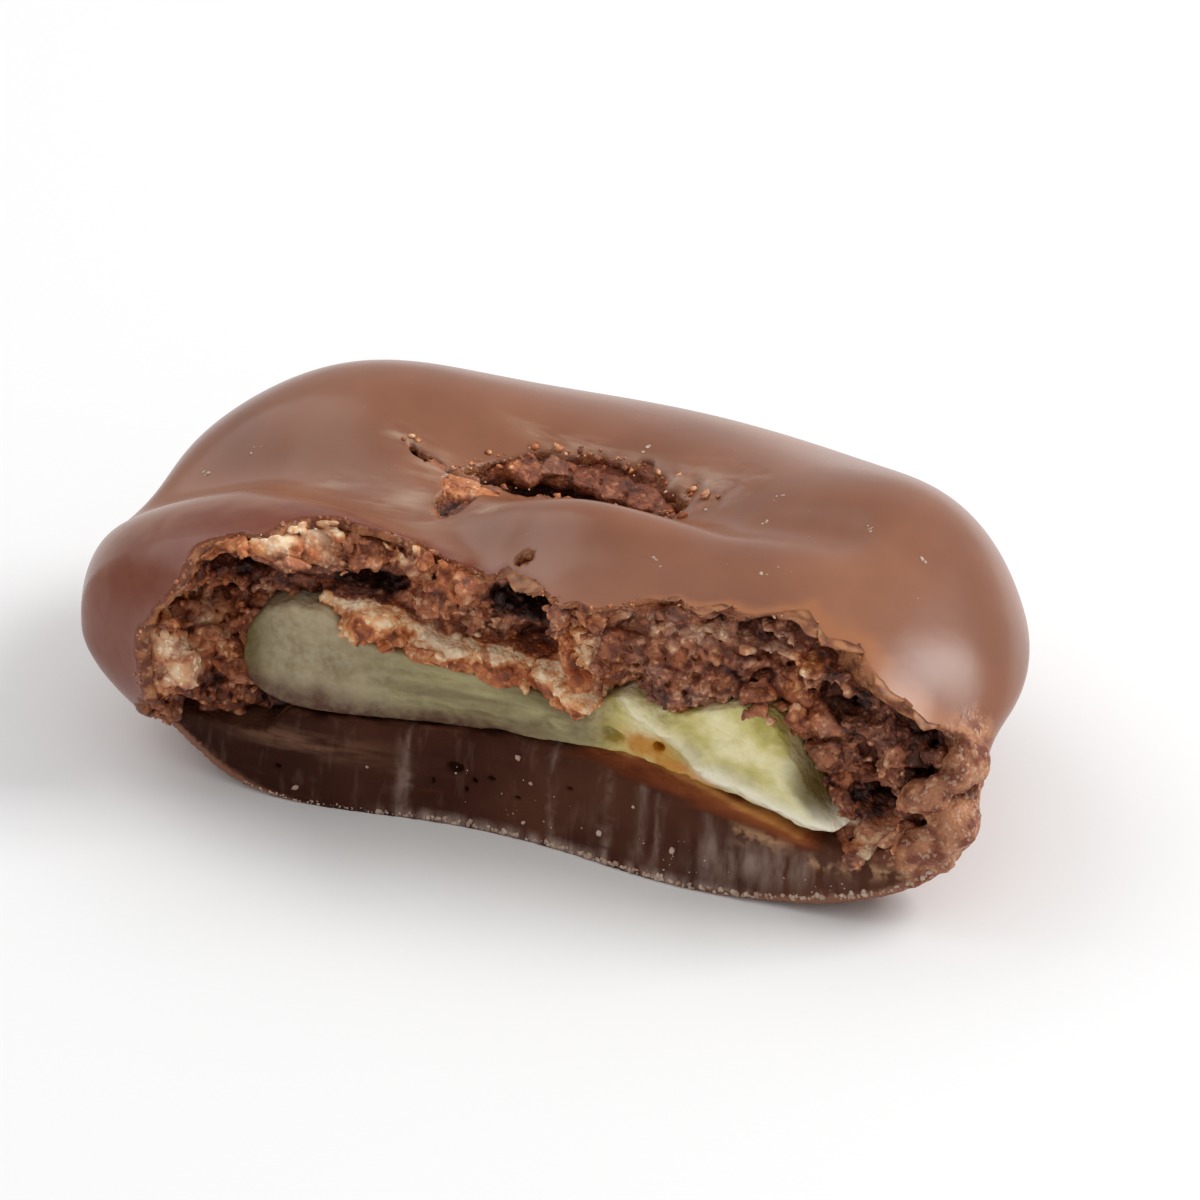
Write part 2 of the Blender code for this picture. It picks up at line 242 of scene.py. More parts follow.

# The banana slice: middle, half sizes in plan, its upper and lower edge where it is bitten, and in
# that face the white edge of the flesh and a pale ridge that runs down to it, whose paleness is
# partly painted highlight of the wet flesh.
BANANA_MIDDLE = (0.3, 2.4)
BANANA_HALF = (10.6, 9.0)
BANANA_UPPER = (
    (-9.5, 4.4), (-9.4, 5.5), (-9.15, 5.95), (-8.7, 6.4), (-7.9, 6.65), (-6.8, 6.5), (-5.7, 5.8),
    (-4.5, 5.45), (-3.4, 5.25), (-1.1, 5.02), (0.8, 4.95), (1.8, 5.0), (2.4, 5.4), (3.4, 6.0),
    (4.3, 5.8), (5.1, 5.6), (6.0, 6.0), (7.3, 6.4), (8.0, 6.1), (8.5, 5.6), (9.1, 4.75), (9.8, 3.85),
    (10.4, 3.35), (10.9, 3.05),
)
BANANA_LOWER = (
    (-9.5, 4.6), (-9.4, 3.6), (-9.15, 3.25), (-8.7, 3.1), (-7.4, 3.05), (-4.3, 3.1), (-2.0, 3.15),
    (0.3, 3.4), (2.3, 3.7), (3.8, 3.8), (5.6, 3.62), (7.3, 3.22), (8.3, 2.95), (9.3, 2.68), (10.4, 2.6),
    (10.9, 2.75),
)
WHITE_EDGE = ((3.0, 4.6), (4.6, 4.6), (5.6, 4.3), (6.7, 3.95), (8.3, 3.4), (9.4, 3.1), (11.0, 3.0))
BANANA_RIDGE = ((3.3, 5.9), (4.0, 5.3), (5.0, 4.9), (6.0, 4.4))

# How high the slice's upper and lower side lie behind the bite, and where its edge has faded into
# them, along y.
BANANA_BACK = (5.2, 2.9)
BANANA_FADE_Y = (2.0, 5.0)

# The room that each piece is shaped in, from and to along x, y and z.
COAT_SPACE = ((-16.2, 15.4), (-2.6, 17.4), (-0.3, 10.7))
CRUMB_SPACE = ((-14.6, 14.2), (-1.6, 15.6), (1.6, 9.9))
FISSURE_SPACE = ((-6.1, 4.0), (3.4, 10.4), (5.9, 9.4))
BANANA_SPACE = ((-10.8, 11.4), (-1.2, 12.0), (2.2, 7.0))

# Steps of the grids that the pieces are shaped on, in mm, near the bitten face and far behind it.
COAT_STEP = 0.12
COAT_FACE_STEP = 0.1
COAT_TOP_STEP = 0.16
COAT_BACK_STEP = 0.3
FISSURE_END = 10.2
CRUMB_STEP = 0.075
FISSURE_STEP = 0.065
CRUMB_BACK_STEP = 0.6
BANANA_STEP = 0.09
STEP_GROWTH = 1.12
FACE_DEPTH = 2.6
OUTSIDE = 1.0

# The share of its faces that each piece keeps when those that don't show are merged.
COAT_KEPT = 0.5
CRUMB_KEPT = 0.26
BANANA_KEPT = 0.6

# Odd numbers that scramble a whole place into an even random number.
SCRAMBLERS = tuple(map(np.uint32, (374761393, 668265263, 2246822519, 3266489917)))

# Each finer octave of a roughness is this much weaker and its lumps this much smaller.
OCTAVE_SHARE = 0.55
OCTAVE_SHRINK = 2.1

# Every roughness by what it shapes: its height, the size of its lumps, its seed and its octaves.
ROUGHNESS = {
    "rim tear": (0.12, 0.8, 11, 2),
    "rim teeth": (0.05, 0.3, 12, 2),
    "rim lumps": (0.4, 1.1, 13, 2),
    "fissure lip": (0.3, 0.8, 31, 3),
    "inner wall": (0.07, 0.5, 33, 2),
    "broken end": (0.16, 0.6, 34, 4),
    "stain edge": (0.2, 0.7, 35, 2),
    "bumpy skin": (0.2, 0.7, 36, 2),
    "layer waves": (0.22, 1.6, 41, 2),
    "crags": (0.34, 1.5, 42, 2),
    "far blocks": (1.0, 0.9, 43, 2),
    "ledge split": (0.14, 0.5, 44, 2),
    "pale edge": (1.0, 0.8, 45, 2),
    "ledge edge": (0.07, 0.35, 46, 2),
    "ledge crest": (0.2, 0.5, 47, 1),
    "crumb chunks": (0.16, (0.6, 0.6, 0.4), 51, 3),
    "fissure pebbles": (0.2, 0.9, 52, 2),
    "fissure grit": (0.07, 0.5, 53, 2),
    "crevice": (0.15, 0.5, 54, 1),
    "clump shift": (0.25, 0.9, 55, 1),
    "clump breaks": (1.0, 1.8, 59, 1),
    "banana waves": (0.1, (1.6, 1, 0.8), 71, 2),
    "fibres": (0.07, (1.2, 1, 0.16), 72, 2),
    "wet waves": (0.14, (0.9, 1, 0.5), 73, 3),
    "brown fringe": (0.1, 0.7, 74, 3),
    "seed edge": (0.3, 0.4, 75, 1),
    "amber": (0.4, 0.45, 76, 3),
    "flake edge": (1.0, 1.0, 81, 3),
}


def bell(offset, spread):
    """1 at the middle of a swell, falling smoothly to 0 away from it."""
    return np.exp(-((offset / spread) ** 2))


def patch(a, b, mid_a, mid_b, spread_a, spread_b, amount=1.0):
    """An oval swell: this amount at its middle, falling smoothly to 0 away from it."""
    return amount * bell(a - mid_a, spread_a) * bell(b - mid_b, spread_b)


def smooth_step(low, high, value):
    """0 up to low and 1 from high on, or the other way round where high is below low."""
    share = np.clip((value - low) / (high - low), 0, 1)
    return share * share * (3 - 2 * share)


def between(start, full, fade, end, value):
    """1 from full to fade, falling smoothly to 0 at start and at end."""
    return smooth_step(start, full, value) * smooth_step(end, fade, value)


def along(points, x):
    """The second number of these points at x, with straight lines between them."""
    table = np.array(points)
    return np.interp(x, table[:, 0], table[:, 1])


def smooth_max(a, b, rounding):
    """The larger of the two, with the edge where they meet rounded."""
    share = np.clip(rounding - np.abs(a - b), 0, None) / rounding
    return np.maximum(a, b) + share * share * rounding / 4


def smooth_min(a, b, rounding):
    """The smaller of the two, with the edge where they meet rounded."""
    return -smooth_max(-a, -b, rounding)


def lattice_value(ix, iy, iz, seed):
    """An even random number from -1 to 1 for each whole place, always the same for a seed."""
    by_x, by_y, by_z, by_seed = SCRAMBLERS
    mixed = ix.astype(np.uint32) * by_x + iy.astype(np.uint32) * by_y
    mixed = mixed + iz.astype(np.uint32) * by_z + np.uint32(seed * int(by_seed) % 2**32)
    mixed = (mixed ^ (mixed >> np.uint32(15))) * by_z
    mixed = (mixed ^ (mixed >> np.uint32(13))) * by_seed
    return (mixed ^ (mixed >> np.uint32(16))).astype(np.float32) / 2**31 - 1


def rough(kind, x, y, z):
    """Even roughness of this kind, whose lumps have finer ones on them."""
    height, size, seed, octaves = ROUGHNESS[kind]
    total, share, summed = 0.0, 1.0, 0.0
    size = np.broadcast_to(size, 3).astype(float)
    for octave in range(octaves):
        places = [np.asarray(v) / s + 13.7 * (octave + 1) for v, s in zip((x, y, z), size)]
        cells = [np.floor(p).astype(np.int64) for p in places]
        parts = [p - c for p, c in zip(places, cells)]
        parts = [p * p * p * (p * (p * 6 - 15) + 10) for p in parts]
        value = 0.0
        for corner in np.ndindex(2, 2, 2):
            weights = [part if far else 1 - part for part, far in zip(parts, corner)]
            numbers = lattice_value(*(c + far for c, far in zip(cells, corner)), seed + octave)
            value = value + weights[0] * weights[1] * weights[2] * numbers
        total = total + share * value
        summed += share
        share *= OCTAVE_SHARE
        size = size / OCTAVE_SHRINK
    return height * (total / summed * 1.6)


def clumps(x, y, z, size, seed):
    """Broken clumps of this size in mm: how far each place is from its clump's edge, as a share of
    the size, and a number from -1 to 1 that is the clump's own."""
    places = [np.asarray(v) / s + 7.3 for v, s in zip((x, y, z), np.broadcast_to(size, 3))]
    cells = [np.floor(p).astype(np.int64) for p in places]
    nearest = np.full(np.broadcast(*places).shape, 9.0)
    second, number = nearest.copy(), 0 * nearest
    for step in np.ndindex(3, 3, 3):
        cell = [c + move - 1 for c, move in zip(cells, step)]
        gap = 0.0
        for axis in range(3):
            gap = gap + (places[axis] - cell[axis] - 0.5 - 0.45 * lattice_value(*cell, seed + axis)) ** 2
        gap = np.sqrt(gap)
        closer = gap < nearest
        second = np.where(closer, nearest, np.minimum(second, gap))
        number = np.where(closer, lattice_value(*cell, seed + 3), number)
        nearest = np.where(closer, gap, nearest)
    return second - nearest, number


def outline(angle):
    """The plan radius in this direction, as a share of the plain ellipse's."""
    share = 1.0
    for direction, spread, amount in OUTLINE_LOBES:
        turn = (np.degrees(angle) - direction + 180) % 360 - 180
        share = share + amount * bell(turn, spread)
    return share


def distance_to(points, x, y):
    """How far each place is from a line through these points."""
    nearest = np.full(np.broadcast(x, y).shape, np.inf)
    for (x0, y0), (x1, y1) in zip(points, points[1:]):
        length = math.dist((x0, y0), (x1, y1))
        share = np.clip(((x - x0) * (x1 - x0) + (y - y0) * (y1 - y0)) / length**2, 0, 1)
        nearest = np.minimum(nearest, np.hypot(x - x0 - share * (x1 - x0), y - y0 - share * (y1 - y0)))
    return nearest


def top_swell(x, y):
    """How far the upper surface swells or sinks here from its plain rounded form."""
    rise = 0.0
    for swell in TOP_SWELLS:
        rise = rise + patch(x, y, *swell)
    for points, spread, depth in CREASES:
        rise = rise - depth * bell(distance_to(points, x, y), spread)
    return rise


def plan_reach(x, y):
    """0 at the middle of the chip in plan and 1 on its outline, which is pinched at the bitten end."""
    x = x - PINCH * smooth_step(*PINCH_Y, y) * smooth_step(*PINCH_X, x)
    across, back = (x - CENTRE[0]) / HALF_LENGTH, (y - CENTRE[1]) / HALF_DEPTH
    return np.hypot(across, back) / outline(np.arctan2(back, across))


def crown(reach):
    """How high the plain upper surface stands at this reach, as a share of its height."""
    return (1 - np.minimum(reach, 1) ** UPPER_POWER) ** (1 / UPPER_POWER)


def whole_chip(x, y, z):
    """Below 0 inside the unbitten chip, 0 on its skin and above 0 outside it."""
    right = smooth_step(*RIGHT_END_X, x)
    waist = WAIST * right * smooth_step(*WAIST_Z, z)
    x = x + waist * smooth_step(*WAIST_FRONT_Y, y) * smooth_step(*WAIST_BACK_Y, y)
    foot = smooth_step(*FOOT_Y, y) * right
    reach = plan_reach(x, y)
    level = crown(reach)
    height = RISE + top_swell(x, y) * smooth_step(0, SHOULDER, level) / np.maximum(level, 0.05)
    above = np.clip(z - MID_HEIGHT, 0, None) / height
    upper = (reach**UPPER_POWER + above**UPPER_POWER) ** (1 / UPPER_POWER)
    depth = np.clip(MID_HEIGHT - z, 0, None) / SINK
    under = UNDERCUT - (UNDERCUT + FOOT) * foot
    drawn = under * smooth_step(0, SHOULDER, depth) * np.clip((x - CENTRE[0]) / HALF_LENGTH, 0, 1)
    drawn = drawn - TUCK * smooth_step(0.05, 0.95, depth) * smooth_step(*TUCK_X, x) * smooth_step(*TUCK_Y, y)
    lower = (plan_reach(x + drawn, y) ** LOWER_POWER + depth**LOWER_POWER) ** (1 / LOWER_POWER)
    middle, radius, swell = LUMP
    lump = patch(x, y, *middle[:2], radius, radius, swell) * bell(z - middle[2], radius)
    return np.where(z >= MID_HEIGHT, upper, lower) - 1 - lump


def skin_height(x, y):
    """Height of the upper skin over each place."""
    level = crown(plan_reach(x, y))
    return MID_HEIGHT + level * RISE + top_swell(x, y) * smooth_step(0, SHOULDER, level)


def skin_slope(x, y, z, step=0.02):
    """The way out of the chip and how fast whole_chip grows that way, for single places."""
    slope = []
    for i, j, k in np.eye(3) * step:
        ahead, back = whole_chip(x + i, y + j, z + k), whole_chip(x - i, y - j, z - k)
        slope.append((ahead - back) / (2 * step))
    slope = np.stack(slope, -1)
    size = np.maximum(np.linalg.norm(slope, axis=-1), 1e-4)
    return slope / size[..., None], size


def skin_gap(x, y, z):
    """Distance in mm to the skin, below 0 inside, for single places."""
    return whole_chip(x, y, z) / skin_slope(x, y, z)[1]


def depth_field(xs, ys, zs):
    """Distance to the skin in mm all over a grid, below 0 inside, with a flat underside."""
    x, y, z = open_grid(xs, ys, zs)
    field = whole_chip(x, y, z)
    slope = np.sqrt(sum(g * g for g in np.gradient(field, xs, ys, zs)))
    field = field / np.maximum(slope, 0.03)
    return smooth_max(field, -z, EDGE_ROUNDING).astype(np.float32)


def face_line(x, z):
    """How far back the plain bitten face stands at this place."""
    y = FACE_Y + FACE_LEAN * z
    for mid_x, spread, amount in FACE_SWELLS:
        y = y - amount * bell(x - mid_x, spread)
    return y


def rim_turn(x, z):
    """The direction of a place from the middle of the face, in degrees as RIM_FRONT has them."""
    return (np.degrees(np.arctan2(z - RIM_MIDDLE, x)) + 90) % 360 - 90


def coat_front(x, z):
    """The smooth cut through the base, and above it the torn front of the coating."""
    turn = rim_turn(x, z)
    tear = rough("rim tear", x, 0.0, z) + rough("rim teeth", x, 0.0, z)
    lumps = smooth_step(9, 2, turn) * rough("rim lumps", x, 0.0, z)
    rim = along(RIM_FRONT, turn) + tear + lumps
    base = face_line(x, z) - BASE_PROUD - BASE_FOOT * smooth_step(1.6, 0.0, z)
    base = base - BASE_END_REACH * smooth_step(*BASE_END_X, x)
    return base + (rim - base) * smooth_step(0.0, 1.1, z - along(BASE_TOP, x) + 0.1)


def wall(x, z):
    """Thickness of the coating: thin over the crumb and thick at the two ends."""
    right = smooth_step(-2, 9, x)
    side = WALL_LEFT + (WALL_RIGHT - WALL_LEFT) * smooth_step(-13, 12, x)
    return WALL_TOP + (side - WALL_TOP) * smooth_step(7.8 + 1.8 * right, 5.6 + 1.3 * right, z)


def fissure_room(x, y, z, lip, floor):
    """Below 0 in the fissure: a trough behind its front lip that shallows towards its back lip.

    lip widens it all round and floor deepens it, in mm, less so at its back lip.
    """
    front, back = along(FISSURE_FRONT, x), along(FISSURE_BACK, x)
    share = (y - front) / np.maximum(back - front, 0.2)
    shape = smooth_step(-0.05, 0.08, share) * (1 - 0.85 * smooth_step(0.66, 1.0, share))
    depth = along(FISSURE_DEPTH, x) * shape + floor * (1 - 0.7 * smooth_step(0.7, 1.0, share))
    bottom = skin_height(x, y) - depth
    sides = np.maximum(front - lip - y, y - back - lip)
    ends = np.maximum(FISSURE_FRONT[0][0] - lip - x, x - FISSURE_FRONT[-1][0] - lip)
    return np.maximum(np.maximum(sides, ends), bottom - z)


def fissure_reach(x, y):
    """0 in the fissure and the pit at its left end, and outside them the distance to their edge."""
    near_lips = distance_to(FISSURE_BACK + FISSURE_FRONT[::-1], x, y)
    inside = (y > along(FISSURE_FRONT, x)) & (y < along(FISSURE_BACK, x))
    pit = np.hypot(x - PIT_MIDDLE[0], y - PIT_MIDDLE[1]) - PIT_RADIUS
    return np.minimum(np.where(inside, 0.0, near_lips), pit)


def ball(x, y, z, middle, radii):
    """Distance in mm, roughly, to a rounded lump with these half sizes."""
    scaled = np.sqrt(sum(((v - m) / r) ** 2 for v, m, r in zip((x, y, z), middle, radii)))
    return (scaled - 1) * min(radii)


def dig(field, x, y, z, hollows, rounding):
    """Takes rounded hollows out of the form."""
    for middle, radii in hollows:
        field = smooth_max(field, -ball(x, y, z, middle, radii), rounding)
    return field


def heap(field, x, y, z, lumps, rounding):
    """Adds rounded lumps to the form."""
    for middle, radii in lumps:
        field = smooth_min(field, ball(x, y, z, middle, radii), rounding)
    return field


def row_places(low, high, first, last):
    """Places from low to high whose spacing grows from first to last past the bitten face."""
    near = np.arange(low, FACE_DEPTH, first)
    places, step = list(near), first
    while places[-1] < high:
        step = min(last, step * STEP_GROWTH)
        places.append(places[-1] + step)
    return np.array(places)


def grid_of(room, step, back_step):
    """The grid's places along x, y and z, with wider steps along y behind the bitten face."""
    (x0, x1), (y0, y1), (z0, z1) = room
    return np.arange(x0, x1, step), row_places(y0, y1, step, back_step), np.arange(z0, z1, step)


def coat_grid():
    """The coat's grid: along y fine at the bitten face, medium as far as the fissure, then coarse."""
    (x0, x1), (y0, y1), (z0, z1) = COAT_SPACE
    near = row_places(y0, FISSURE_END, COAT_FACE_STEP, COAT_TOP_STEP)
    rows = np.concatenate([near, np.arange(near[-1] + COAT_BACK_STEP, y1, COAT_BACK_STEP)])
    return np.arange(x0, x1, COAT_STEP), rows, np.arange(z0, z1, COAT_STEP)


def open_grid(xs, ys, zs):
    """The grid's places, each along a direction of its own."""
    return xs[:, None, None], ys[None, :, None], zs[None, None, :]


def near_surface(field, reach, axes, where=True):
    """The grid's cells within this reach of the form's surface, and their x, y and z."""
    near = (np.abs(field) < reach) & where
    return near, [axis[cells] for axis, cells in zip(axes, np.nonzero(near))]


def close_border(field):
    """The outermost layer of the grid lies outside the form, so that its mesh is closed."""
    for axis in range(3):
        for end in (0, -1):
            index = [slice(None)] * 3
            index[axis] = end
            field[tuple(index)] = OUTSIDE
    return field


def surface_of(field, xs, ys, zs):
    """Points in chip mm and faces of the surface where the field is 0."""
    grid = openvdb.FloatGrid(OUTSIDE)
    grid.copyFromArray(np.ascontiguousarray(np.clip(close_border(field), -OUTSIDE, OUTSIDE), np.float32))
    points, triangles, quads = grid.convertToPolygons(0.0, 0.0)
    places = [np.interp(points[:, i], np.arange(len(axis)), axis) for i, axis in enumerate((xs, ys, zs))]
    return np.stack(places, 1), list(map(tuple, quads)) + list(map(tuple, triangles))


def make_piece(name, points, faces, material, slot, node=None):
    """A piece that rides on the chip, in place of this node of the CAD where one is named."""
    mesh = bpy.data.meshes.new(name)
    mesh.from_pydata((points + SHIFT) * MM, [], faces)
    mesh.polygons.foreach_set("use_smooth", [True] * len(mesh.polygons))
    piece = bpy.data.objects.new(name, mesh)
    bpy.context.scene.collection.objects.link(piece)
    mesh.materials.append(material)
    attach(piece, "root")
    if node:
        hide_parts(node)
    return piece


def points_of(piece):
    """The piece's points in chip mm."""
    flat = np.empty(len(piece.data.vertices) * 3, np.float32)
    piece.data.vertices.foreach_get("co", flat)
    return flat.reshape(-1, 3).astype(float) / MM - SHIFT


def set_points(piece, points):
    """Moves the piece's points to these, in chip mm."""
    piece.data.vertices.foreach_set("co", ((points + SHIFT) * MM).astype(np.float32).ravel())
    piece.data.update()


def paint(piece, **masks):
    """Keeps a number for each point of the piece, which its material reads by name."""
    for name, values in masks.items():
        held = piece.data.attributes.new(name, "FLOAT", "POINT")
        held.data.foreach_set("value", np.clip(values, 0, 1).astype(np.float32))


def thin_out(piece, hidden, share):
    """Merges small faces, most of them where hidden is 1, until this share of them is left."""
    group = piece.vertex_groups.new(name="hidden")
    for level, chosen in ((0.1, ~hidden), (1.0, hidden)):
        group.add([int(i) for i in np.nonzero(chosen)[0]], level, "REPLACE")
    modifier = piece.modifiers.new("thin_out", "DECIMATE")
    modifier.ratio = share
    modifier.vertex_group = group.name
    modifier.vertex_group_factor = 10.0
    bpy.context.view_layer.update()
    graph = bpy.context.evaluated_depsgraph_get()
    old = piece.data
    piece.data = bpy.data.meshes.new_from_object(piece.evaluated_get(graph))
    piece.data.validate()
    piece.modifiers.clear()
    piece.vertex_groups.clear()
    bpy.data.meshes.remove(old)


def column_share(x, y, z):
    """1 in the lumpy broken end of the coating at the right of the bite."""
    return smooth_step(*COLUMN_X, x) * smooth_step(*COLUMN_Y, y) * smooth_step(*COLUMN_Z, z)


def coat_room(x, y, z, depth):
    """Below 0 in the coating with its thick base, above 0 elsewhere."""
    shell = np.maximum(depth, -(depth + wall(x, z)))
    base = np.maximum(depth, z - along(BASE_TOP, x))
    torn = smooth_step(2.6, 4.0, z)
    front = coat_front(x, z) + 0.55 * torn * np.clip(-depth, 0, 1.6) - y
    return smooth_max(smooth_min(shell, base, SHELL_EDGE), front, TORN_EDGE)


# Pale smears down the cut face of the base, as x and half width, and a broad faint one, a frosted
# patch and a streaky one, as middle x and z, spreads and amount.
SMEARS = (
    (-4.1, 0.14), (-3.9, 0.06), (0.9, 0.1), (2.9, 0.12), (4.1, 0.16), (4.6, 0.08), (6.4, 0.2),
    (7.1, 0.1),
)
BROAD_SMEAR = (8.0, 1.0, 2.4, 0.8, 0.6)
FROST_PATCH = (8.4, 1.35, 1.9, 0.45, 0.6)
STREAKY_PATCH = (-7.2, 2.0, 2.6, 0.4)

# Pale scuffed patches of the skin round the fissure, which also paint the sheen of grazing
# highlights along the crease: middle x and y, spreads and strength.
SCUFF_AND_SHEEN_PATCHES = (
    (-5.7, 6.0, 0.6, 1.0, 0.75), (-6.3, 4.6, 1.2, 0.5, 0.5), (-4.6, 3.9, 1.0, 0.4, 0.5),
    (-8.2, 5.3, 1.5, 0.35, 0.45), (-2.0, 9.5, 1.8, 0.35, 0.8), (2.3, 8.6, 1.2, 0.7, 0.7),
    (-2.9, 4.2, 0.6, 0.5, 0.6), (-7.0, 7.2, 0.6, 0.4, 0.7),
)

# Where the rust-coloured band under the banana ends below, and the thin tan line on the base's
# right half, both in x and z.
RUST_LOW = (
    (-15, 1.4), (0.0, 2.9), (2.0, 2.95), (3.8, 2.95), (5.6, 2.7), (7.4, 2.3), (9.2, 2.05), (10.8, 1.85),
    (13.5, 1.5),
)
TAN_LINE = ((6.5, 2.45), (8.5, 2.15), (9.9, 1.75), (11.5, 1.75), (13.0, 1.9))


def shape_coat(axes):
    """The coating: its shell and base, with the fissure, the pores and the lumpy broken end."""
    x, y, z = open_grid(*axes)
    depth = depth_field(*axes)
    field = coat_room(x, y, z, depth)
    lip = rough("fissure lip", x, y, 0.0)
    room = fissure_room(x, y, z, lip, FISSURE_EXTRA)
    for middle, radii in FISSURE_PITS:
        room = np.minimum(room, ball(x, y, z, middle, radii) - 0.4 * lip)
    crack = distance_to(FISSURE_CRACK, x, y) - CRACK_HALF - 0.06 * lip
    room = np.minimum(room, np.maximum(crack, skin_height(x, y) - CRACK_DEPTH - z))
    field = smooth_max(field, -room, FISSURE_EDGE)
    pores = [
        ((at_x, float(coat_front(at_x, at_z)) + 0.1, at_z), (half_x, PORE_DEPTH, half_z))
        for at_x, at_z, half_x, half_z in BASE_PORES
    ]
    field = dig(field, x, y, z, pores, PORE_EDGE)
    field = heap(field, x, y, z, COLUMN_LUMPS, LUMP_EDGE)
    field = dig(field, x, y, z, COLUMN_PITS, PIT_EDGE)
    column = column_share(x, y, z)
    near, places = near_surface(field, 0.5, axes, column > 0)
    field[near] += column[near] * rough("broken end", *places)
    near, places = near_surface(field, 0.5, axes)
    inner = np.clip(-depth[near] / 0.2, 0, 1) * smooth_step(2.2, 3.2, places[2])
    field[near] += inner * rough("inner wall", *places)
    near, (x, y, _) = near_surface(field, 0.4, axes, (z > 7.0) & (patch(x, y, *GRAINY) > 0.1))
    field[near] -= patch(x, y, *GRAINY) * (rough("bumpy skin", x, y, 0.0) + 0.03)
    return field


def settle_on_skin(points):
    """Moves points that almost lie on the smooth skin onto it, and the lowest ones to the floor."""
    for _ in range(2):
        ways, slope = skin_slope(*points.T)
        gap = whole_chip(*points.T) / slope
        plain = (patch(points[:, 0], points[:, 1], *GRAINY) < 0.15) & (column_share(*points.T) < 0.02)
        held = (np.abs(gap) < 0.06) & (points[:, 2] > 0.6) & plain
        points[held] -= (ways * gap[:, None])[held]
    points[points[:, 2] < 0.03, 2] = 0.0


def paint_coat(piece, points):
    """The masks of the coating's two materials. Gives back the one of the base's cut face."""
    x, y, z = points.T
    under = -skin_gap(x, y, z)
    front, base_top, column = coat_front(x, z), along(BASE_TOP, x), column_share(x, y, z)
    by_fissure = (np.abs(x + 1.5) < 6.0) & (y > 3.6) & (y < 10.4) & (z > 6.4)
    torn = np.clip(under / 0.12, 0, 1) * ((y < front + 1.6) | by_fissure)
    base = smooth_step(0.25, -0.05, z - base_top) * smooth_step(0.1, 0.3, under)
    base = base * (1 - column) * (y < front + 1.0)
    rust_low = along(RUST_LOW, x)
    caramel = np.clip((z - rust_low) / (base_top - rust_low), 0, 1) * between(0.0, 3.5, 9.2, 10.4, x)
    smear = sum(bell(x - at, width) for at, width in SMEARS) + patch(x, z, *BROAD_SMEAR)
    frost = smooth_step(0.5, 0.12, z) * smooth_step(-5.5, -3.0, x) + patch(x, z, *FROST_PATCH)
    tan_spread = 0.17 + 0.12 * smooth_step(9.0, 12.0, x)
    tan_line = bell(z - along(TAN_LINE, x), tan_spread) * smooth_step(6.2, 7.5, x)
    stain = (y - front) / along(RIM_STAIN_AND_SHADE, rim_turn(x, z)) + rough("stain edge", x, y, z)
    paint(
        piece,
        broken=np.maximum(torn * smooth_step(1.0, 1.8, z), column),
        base_cut=base,
        caramel=caramel * base,
        column=column,
        # orange-brown tint of the crumb near the rim, and painted shade on the skin beside the bite at the
        # left
        rim_stain=smooth_step(1.0, 0.25, stain) * smooth_step(2.2, 3.4, z),
        smear=smear * base,
        frost=frost * base,
        streaky=patch(x, z, *STREAKY_PATCH) * base,
        tan_line=tan_line * base,
        # pale scuffs round the fissure, with painted sheen of grazing highlights
        bloom=sum(patch(x, y, *bloom) for bloom in SCUFF_AND_SHEEN_PATCHES) * smooth_step(6, 7, z),
        # painted shade, darker at the left end of the cut face
        deep=smooth_step(-2.0, -9.0, x) * base,
    )
    return base


def make_coat(skin_material, cut_material):
    """The coating, with a material of its own on the cut face of its base."""
    axes = coat_grid()
    form = surface_of(shape_coat(axes), *axes)
    piece = make_piece("chocolate_coat", *form, skin_material, "milk_chocolate", "milk_chocolate_coating")
    points = points_of(piece)
    behind = points[:, 1] > face_line(points[:, 0], points[:, 2]) + 2.0
    thin_out(piece, behind & (skin_gap(*points.T) < -0.2), COAT_KEPT)
    points = points_of(piece)
    settle_on_skin(points)
    set_points(piece, points)
    base = paint_coat(piece, points)
    share = np.array([base[list(face.vertices)].mean() for face in piece.data.polygons])
    piece.data.materials.append(cut_material)
    piece.data.polygons.foreach_set("material_index", (share > 0.5).astype(np.int32))


# The hole under the rim, whose inside is painted dark as shade, and the plain parts of the face
# round it that no clumps and no grains cover: middle and half sizes.
RIM_HOLE = ((-0.45, 2.0, 7.45), (1.15, 2.4, 0.62))
NO_CLUMPS = ((-0.45, 0, 7.45), (1.2, 1, 0.65))
NO_GRAINS = ((-0.45, 0, 7.4), (1.1, 1, 0.6))

# Voids between the blocks of crumb, dug out and painted darker as shade: middle and half sizes.
CRUMB_VOIDS = (
    ((10.1, 1.9, 6.75), (0.75, 1.3, 0.42)),
    ((11.0, 1.5, 3.55), (0.35, 1.1, 0.4)),
    ((12.75, 2.3, 4.9), (0.42, 1.5, 1.0)),
    ((-10.2, 1.6, 7.5), (0.8, 1.4, 0.42)),
    ((-5.9, 2.0, 7.15), (0.8, 1.2, 0.34)),
)

# The ledge of crumb over the banana: its top edge in x and z, and how far it stands out.
LEDGE = (
    (-7.2, 7.0), (-6.1, 6.94), (-5.4, 6.9), (-4.9, 6.72), (-4.4, 6.49), (-3.8, 6.17), (-3.3, 5.95),
    (-2.6, 5.9), (-1.0, 5.9), (-0.4, 5.82), (0.1, 5.8), (2.3, 5.6),
)
LEDGE_REACH = 0.8

# Layers of the crumb at the right end: middle x and z, spreads, how thick each is and its tilt.
LAYERS = (8.2, 8.25, 2.3, 0.95)
LAYER_THICKNESS = 0.72
LAYER_TILT = 0.16

